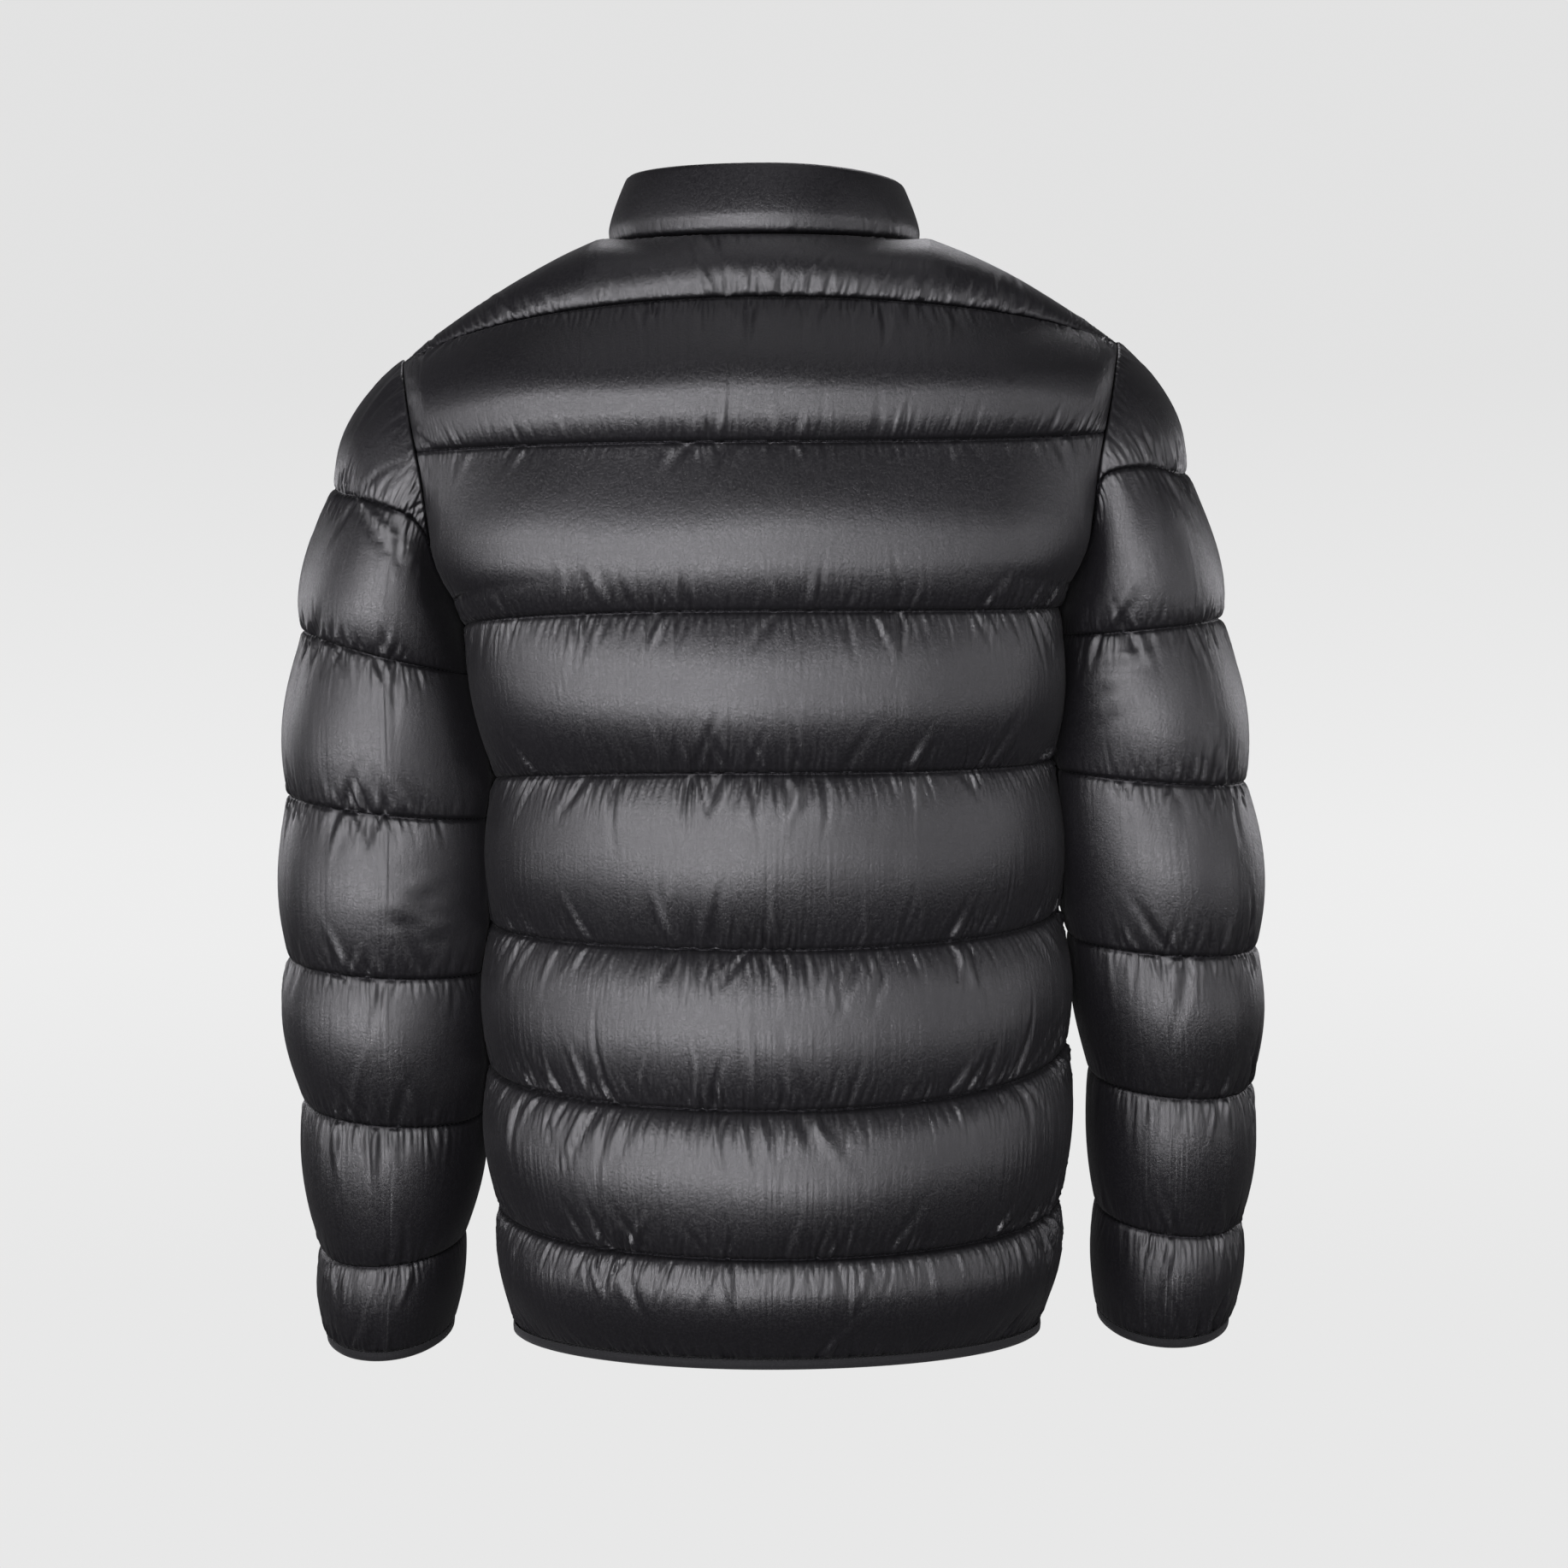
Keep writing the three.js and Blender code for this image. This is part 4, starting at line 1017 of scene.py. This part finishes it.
def zip_tape(side):
    """One woven tape of the zip, behind the edge of its front."""
    edge, far = zip_path(side)
    rings = np.stack([
        stack(SIDE_SIGN[side] * x, path[:, 1] + ZIP_BEHIND + wall, path[:, 2])
        for x, path, wall in (
            (TAPE_EDGE, edge, TAPE_WALL), (ZIP_TAPE, far, TAPE_WALL),
            (ZIP_TAPE, far, 0), (TAPE_EDGE, edge, 0),
        )
    ], axis=1)
    obj = strip_object("zip_tape_cloth_" + side, rings, False)
    flat = ((ZIP_TAPE - TAPE_EDGE) * MM, strip_length(rings, False))
    return obj


def zip_teeth(side):
    """One row of moulded teeth, spaced down the edge of its tape."""
    bpy.ops.object.select_all(action="DESELECT")
    bpy.ops.mesh.primitive_cube_add(size=1, location=(0, 0, 0))
    tooth = bpy.context.object
    bpy.ops.object.mode_set(mode="EDIT")
    bpy.ops.mesh.select_all(action="SELECT")
    bpy.ops.transform.resize(value=TOOTH["size"])
    bpy.ops.mesh.bevel(offset=TOOTH["bevel"], segments=2, affect="EDGES")
    bpy.ops.object.mode_set(mode="OBJECT")
    mesh = tooth.data
    points = np.array([v.co[:] for v in mesh.vertices])
    quads = [list(p.vertices) for p in mesh.polygons]
    bpy.data.objects.remove(tooth)
    bpy.data.meshes.remove(mesh)
    edge = zip_path(side)[0]
    foot = edge[:1] + ZIP_FOOT * unit(edge[:1] - edge[1:2])
    edge = np.concatenate([foot, edge])
    along = distance_along(edge)
    start = 1.4 + (TOOTH["pitch"] / 2 if side == "right" else 0)
    at = points_at(np.arange(start, along[-1] - 3, TOOTH["pitch"]), along, edge)
    shift = stack(SIDE_SIGN[side] * TOOTH["aside"], at[:, 1] - TOOTH["forward"], at[:, 2])
    vertices = (points[None] + shift[:, None]).reshape(-1, 3)
    faces = [[v + k * len(points) for v in q] for k in range(len(at)) for q in quads]
    return mesh_object("zip_teeth_" + side, vertices, faces)


def nodes_of(name):
    """A new node material with its shader and a function that adds and links nodes."""
    material = bpy.data.materials.new(name)
    material.use_nodes = True
    tree = material.node_tree
    shader = tree.nodes["Principled BSDF"]

    def add(kind, inputs=(), **settings):
        node = tree.nodes.new("ShaderNode" + kind)
        for key, value in settings.items():
            setattr(node, key, value)
        for key, value in dict(inputs).items():
            if isinstance(value, bpy.types.NodeSocket):
                tree.links.new(value, node.inputs[key])
            else:
                node.inputs[key].default_value = value
        return node

    return material, shader, add, tree.links.new


def ramp(add, factor, low, high, dark, pale):
    """A colour ramp between two greys or colours."""
    node = add("ValToRGB", {"Fac": factor})
    first, second = node.color_ramp.elements
    first.position, second.position = low, high
    first.color, second.color = (*dark, 1), (*pale, 1)
    return node.outputs["Color"]


def cloth_material(name, colour, roughness, settings):
    """Woven nylon: a fine weave, small crinkles and a soft sheen along the folds."""
    material, shader, add, link = nodes_of(name)
    uv = add("UVMap", uv_map="cloth").outputs["UV"]
    place = add("TexCoord").outputs["Object"]
    tone = add("TexNoise", {"Vector": place, "Scale": 9.0, "Detail": 3.0}).outputs["Fac"]
    link(
        ramp(add, tone, 0.3, 0.7, [0.8 * c for c in colour], [1.2 * c for c in colour]),
        shader.inputs["Base Color"],
    )
    grain = add("TexNoise", {"Vector": place, "Scale": 620.0, "Detail": 2.0}).outputs["Fac"]
    low, high = roughness - 0.05, roughness + 0.07
    spread = ramp(add, grain, 0.35, 0.65, [low] * 3, [high] * 3)
    link(spread, shader.inputs["Roughness"])
    # Painted shade along the seams: there this near-black cloth is made a metal, so that it
    # reflects nothing, like the shaded bottom of a real seam
    seam = add("Attribute", attribute_name="seam").outputs["Fac"]
    link(seam, shader.inputs["Metallic"])
    threads = {"Vector": uv, "Scale": settings["weave"], "Distortion": 0.3}
    warp, weft = (
        add("TexWave", threads, bands_direction=way).outputs["Fac"] for way in "XY"
    )
    weave = add("Math", {0: warp, 1: weft}, operation="ADD").outputs["Value"]
    crinkle = add("TexNoise", {"Vector": place, "Scale": 150.0, "Detail": 4.0}).outputs["Fac"]
    relief = {}
    for height, strength, distance in (
        (crinkle, settings["crinkle"], 0.0012),
        (weave, settings["thread"], 0.0001),
        (grain, settings["grain"], 0.00018),
    ):
        bump = add("Bump", {"Height": height, "Strength": strength, "Distance": distance, **relief})
        relief = {"Normal": bump.outputs["Normal"]}
    link(relief["Normal"], shader.inputs["Normal"])
    shader.inputs["Sheen Weight"].default_value = settings["sheen"]
    shader.inputs["Sheen Roughness"].default_value = 0.45
    shader.inputs["Specular IOR Level"].default_value = settings["gloss"]
    return material


def hard_material(name, colour, roughness, noise, pale, spread, bump, uniform):
    """Metal or moulded plastic, a little uneven in its colour, gloss and surface."""
    material, shader, add, link = nodes_of(name)
    place = add("TexCoord").outputs["Object"]
    uneven = add("TexNoise", {"Vector": place, **noise}).outputs["Fac"]
    tone = ramp(add, uneven, pale[0], pale[1], colour, [pale[2] * c for c in colour])
    link(tone, shader.inputs["Base Color"])
    low, high = roughness + spread[0], roughness + spread[1]
    link(ramp(add, uneven, 0.3, 0.7, [low] * 3, [high] * 3), shader.inputs["Roughness"])
    raised = add("Bump", {"Height": uneven, "Strength": bump, "Distance": 0.0002})
    link(raised.outputs["Normal"], shader.inputs["Normal"])
    for key, value in uniform.items():
        shader.inputs[key].default_value = value
    return material


def metal_material(name, colour, roughness):
    """Dark plated metal, worn a little paler and smoother in places."""
    return hard_material(
        name, colour, roughness, noise={"Scale": 260.0, "Detail": 4.0}, pale=(0.4, 0.75, 1.6),
        spread=(0.1, 0.0), bump=0.15, uniform={"Metallic": 0.9},
    )


def plastic_material(name, colour, roughness, gloss=0.5):
    """Moulded plastic with a slight orange-peel surface."""
    return hard_material(
        name, colour, roughness, noise={"Scale": 400.0, "Detail": 2.0}, pale=(0.3, 0.7, 1.3),
        spread=(-0.05, 0.08), bump=0.2, uniform={"Specular IOR Level": gloss},
    )


def paint(obj, material):
    """Gives a piece one material."""
    obj.data.materials.clear()
    obj.data.materials.append(material)


def fit(obj, material, node=None, body="jacket"):
    """Rides a piece on its body in place of its node and its material."""
    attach(obj, body)
    if node:
        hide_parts(node)
    paint(obj, material)


def shell_material(settings):
    """The satin nylon of the shell, made once."""
    made = bpy.data.materials.get("satin_nylon")
    return made or cloth_material("satin_nylon", settings.cloth_colour, settings.cloth_roughness, {
        "weave": 520.0, "crinkle": 0.12, "thread": 0.4, "grain": 0.8, "sheen": 0.03, "gloss": 0.7,
    })


def thread_material():
    """The polyester thread of the quilting, made once."""
    made = bpy.data.materials.get("quilting_thread")
    return made or plastic_material("quilting_thread", (0.003, 0.003, 0.0035), 0.85, 0.1)


def tape_material():
    """The matte woven tape of the bindings and the zip, made once."""
    made = bpy.data.materials.get("matte_woven_tape")
    return made or cloth_material("matte_woven_tape", (0.010, 0.010, 0.011), 0.8, {
        "weave": 420.0, "crinkle": 0.1, "thread": 0.8, "grain": 0.6, "sheen": 0.1, "gloss": 0.25,
    })


def loft_property(name, description, default):
    """A property for how far the padding swells over its seams, in metres."""
    return bpy.props.FloatProperty(
        name=name, description=description, default=default,
        min=0.0, max=0.03, subtype="DISTANCE", unit="LENGTH",
    )


class JacketCloth(bpy.types.PropertyGroup):
    """Sizes and finish of the padded cloth."""

    body_loft: loft_property("Body loft", "Swell of the padding of the body", 0.0135)
    sleeve_loft: loft_property("Sleeve loft", "Swell of the padding of the sleeves", 0.0078)
    collar_loft: loft_property("Collar loft", "Swell of the padding of the stand collar", 0.0075)
    cloth_colour: bpy.props.FloatVectorProperty(
        name="Cloth colour", description="Colour of the shell's satin nylon",
        default=(0.0052, 0.0048, 0.0060), min=0.0, max=1.0, size=3, subtype="COLOR",
    )
    cloth_roughness: bpy.props.FloatProperty(
        name="Cloth roughness", description="How far the satin spreads its reflections",
        default=0.345, min=0.05, max=1.0, subtype="FACTOR",
    )


class JacketStage(bpy.types.PropertyGroup):
    """Camera and light of the studio."""

    lens: bpy.props.FloatProperty(
        name="Lens", description="Focal length of the camera in millimetres",
        default=71.4, min=20.0, max=200.0,
    )
    key_power: bpy.props.FloatProperty(
        name="Key light", description="Power of the softbox beside the camera",
        default=72.0, min=0.0, max=500.0, unit="POWER",
    )
    fill_power: bpy.props.FloatProperty(
        name="Fill light", description="Power of each softbox at the sides and in front",
        default=5.0, min=0.0, max=500.0, unit="POWER",
    )
    floor_tone: bpy.props.FloatProperty(
        name="Floor tone", description="Brightness of the floor and the wall behind",
        default=0.85, min=0.0, max=1.0, subtype="FACTOR",
    )


class JACKET_OT_body(bpy.types.Operator):
    """Build the quilted back, yoke and fronts"""

    bl_idname = "jacket.body"
    bl_label = "Back, yoke and fronts"

    def execute(self, context):
        cloth = context.scene.jacket_cloth
        material = shell_material(cloth)
        loft = cloth.body_loft / MM
        back, seams = body_panel("back_panel_cloth", "back", (1, 8), BACK_GRID, loft, 11)
        yoke, _ = body_panel(
            "back_yoke_cloth", "back", (0, 1), BACK_GRID, YOKE_LOFT * loft, 12, None, True,
        )
        fit(back, material, "back_panel")
        fit(yoke, material, "back_yoke")
        for seed, side in ((13, "left"), (14, "right")):
            front, more = body_panel(
                "front_cloth_" + side, "front", (1, 8), FRONT_GRID, FRONT_LOFT * loft,
                seed, side, True,
            )
            seams += more
            fit(front, material, "front_" + side)
        fit(stitches("body_stitches", seams), thread_material())
        return {"FINISHED"}


class JACKET_OT_sleeves(bpy.types.Operator):
    """Build both quilted sleeves"""

    bl_idname = "jacket.sleeves"
    bl_label = "Sleeves"

    def execute(self, context):
        cloth = context.scene.jacket_cloth
        for seed, side in ((21, "left"), (22, "right")):
            piece, seams = sleeve(side, cloth.sleeve_loft / MM, seed)
            fit(piece, shell_material(cloth), "sleeve_" + side)
            fit(stitches("sleeve_stitches_" + side, seams), thread_material())
        return {"FINISHED"}


class JACKET_OT_collar(bpy.types.Operator):
    """Build the padded stand collar"""

    bl_idname = "jacket.collar"
    bl_label = "Collar"

    def execute(self, context):
        cloth = context.scene.jacket_cloth
        piece = collar(cloth.collar_loft / MM, 31)
        fit(piece, shell_material(cloth), "collar")
        return {"FINISHED"}


class JACKET_OT_bindings(bpy.types.Operator):
    """Build the bindings of the hem and the cuffs"""

    bl_idname = "jacket.bindings"
    bl_label = "Hem and cuff bindings"

    def execute(self, context):
        fit(hem_binding(), tape_material(), "hem_binding")
        for side in ("left", "right"):
            fit(cuff_binding(side), tape_material(), "cuff_binding_" + side)
        return {"FINISHED"}


class JACKET_OT_zip(bpy.types.Operator):
    """Build the zip's tapes and teeth and finish its slider"""

    bl_idname = "jacket.zip"
    bl_label = "Zip"

    def execute(self, context):
        teeth = plastic_material("moulded_teeth", (0.012, 0.012, 0.013), 0.35)
        metal = metal_material("gunmetal", (0.09, 0.09, 0.10), 0.28)
        for side in ("left", "right"):
            fit(zip_tape(side), tape_material(), "zip_tape_" + side)
            fit(zip_teeth(side), teeth)
        for name in ("zip_slider", "zip_pull"):
            paint(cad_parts[name], metal)
        return {"FINISHED"}


def studio_floor(tone):
    """A round pale floor that curves up into the wall behind, open at the top."""
    bpy.ops.object.select_all(action="DESELECT")
    bpy.ops.mesh.primitive_cylinder_add(vertices=96, radius=4.2, depth=6.0, location=(0, 0, 1.75))
    bowl = bpy.context.object
    bowl.name = "floor"
    bpy.ops.object.mode_set(mode="EDIT")
    bpy.ops.mesh.select_all(action="DESELECT")
    bpy.ops.object.mode_set(mode="OBJECT")
    for face in bowl.data.polygons:
        face.select = face.normal.z > 0.9
    bpy.ops.object.mode_set(mode="EDIT")
    bpy.ops.mesh.select_mode(type="FACE")
    bpy.ops.mesh.delete(type="FACE")
    bpy.ops.mesh.select_all(action="SELECT")
    bpy.ops.mesh.flip_normals()
    bpy.ops.object.mode_set(mode="OBJECT")
    bpy.ops.object.transform_apply(location=True, rotation=True, scale=True)
    bevel = bowl.modifiers.new("cove", "BEVEL")
    bevel.width, bevel.segments, bevel.limit_method = 1.2, 16, "ANGLE"
    bpy.ops.object.modifier_apply(modifier="cove")
    bpy.ops.object.shade_smooth()
    material, shader, add, link = nodes_of("pale_studio")
    # Painted light and shade: the floor and wall glow brightest within 0.1 m of the level 0.7 m
    # below the origin, and a tenth darker from 1.9 m above or below it
    place = add("TexCoord").outputs["Object"]
    level = add("SeparateXYZ", {"Vector": place}).outputs["Z"]
    away = add("Math", {0: level, 1: -0.7}, operation="SUBTRACT").outputs["Value"]
    away = add("Math", {0: away}, operation="ABSOLUTE").outputs["Value"]
    painted_shade = ramp(add, away, 0.1, 1.9, [tone] * 3, [tone * 0.9] * 3)
    link(painted_shade, shader.inputs["Emission Color"])
    shader.inputs["Emission Strength"].default_value = 1.0
    shader.inputs["Base Color"].default_value = (0, 0, 0, 1)
    shader.inputs["Specular IOR Level"].default_value = 0.0
    shader.inputs["Roughness"].default_value = 1.0
    paint(bowl, material)
    bowl.visible_diffuse = bowl.visible_glossy = bowl.visible_shadow = False


def stand(data, at, towards):
    """A light or a camera at one point, aimed at another."""
    obj = bpy.data.objects.new(data.name, data)
    bpy.context.scene.collection.objects.link(obj)
    obj.location = at
    obj.rotation_euler = (Vector(towards) - Vector(at)).to_track_quat("-Z", "Y").to_euler()
    return obj


class JACKET_OT_stage(bpy.types.Operator):
    """Build the pale floor, the soft light and the camera"""

    bl_idname = "jacket.stage"
    bl_label = "Floor, light and camera"

    def execute(self, context):
        stage = context.scene.jacket_stage
        studio_floor(stage.floor_tone)
        powers = {"key": stage.key_power, "fill": stage.fill_power}
        for name, at, size, source, share in LIGHTS:
            lamp = bpy.data.lights.new(name, "AREA")
            lamp.shape, lamp.energy, lamp.color = "RECTANGLE", share * powers[source], LIGHT_COLOUR
            lamp.size, lamp.size_y = size
            stand(lamp, at, LIGHT_AIM)
        world = bpy.data.worlds.new("studio")
        context.scene.world = world
        world.use_nodes = True
        background = world.node_tree.nodes["Background"].inputs
        background["Color"].default_value = (0.9, 0.9, 0.92, 1)
        background["Strength"].default_value = 0.05
        context.scene.view_settings.view_transform = "Standard"
        lens = bpy.data.cameras.new("camera")
        lens.lens, lens.sensor_width = stage.lens, 36.0
        context.scene.camera = stand(lens, CAMERA_AT, CAMERA_AIM)
        return {"FINISHED"}


OPERATORS = (
    JACKET_OT_body, JACKET_OT_sleeves, JACKET_OT_collar,
    JACKET_OT_bindings, JACKET_OT_zip, JACKET_OT_stage,
)


class JACKET_PT_pieces(bpy.types.Panel):
    """Shows the jacket's settings and the buttons that build its pieces"""

    bl_idname = "JACKET_PT_pieces"
    bl_label = "Puffer Jacket"
    bl_space_type = "VIEW_3D"
    bl_region_type = "UI"
    bl_category = "Jacket"

    def draw(self, context):
        layout = self.layout
        for group in (context.scene.jacket_cloth, context.scene.jacket_stage):
            for name in group.__annotations__:
                layout.prop(group, name)
        for operator in OPERATORS:
            layout.operator(operator.bl_idname)


CLASSES = (JacketCloth, JacketStage, *OPERATORS, JACKET_PT_pieces)


def register():
    for cls in CLASSES:
        bpy.utils.register_class(cls)
    bpy.types.Scene.jacket_cloth = bpy.props.PointerProperty(type=JacketCloth)
    bpy.types.Scene.jacket_stage = bpy.props.PointerProperty(type=JacketStage)


def unregister():
    del bpy.types.Scene.jacket_stage
    del bpy.types.Scene.jacket_cloth
    for cls in reversed(CLASSES):
        bpy.utils.unregister_class(cls)


def main():
    register()
    bpy.ops.jacket.body()
    bpy.ops.jacket.sleeves()
    bpy.ops.jacket.collar()
    bpy.ops.jacket.bindings()
    bpy.ops.jacket.zip()
    bpy.ops.jacket.stage()


if __name__ == "__main__":
    main()
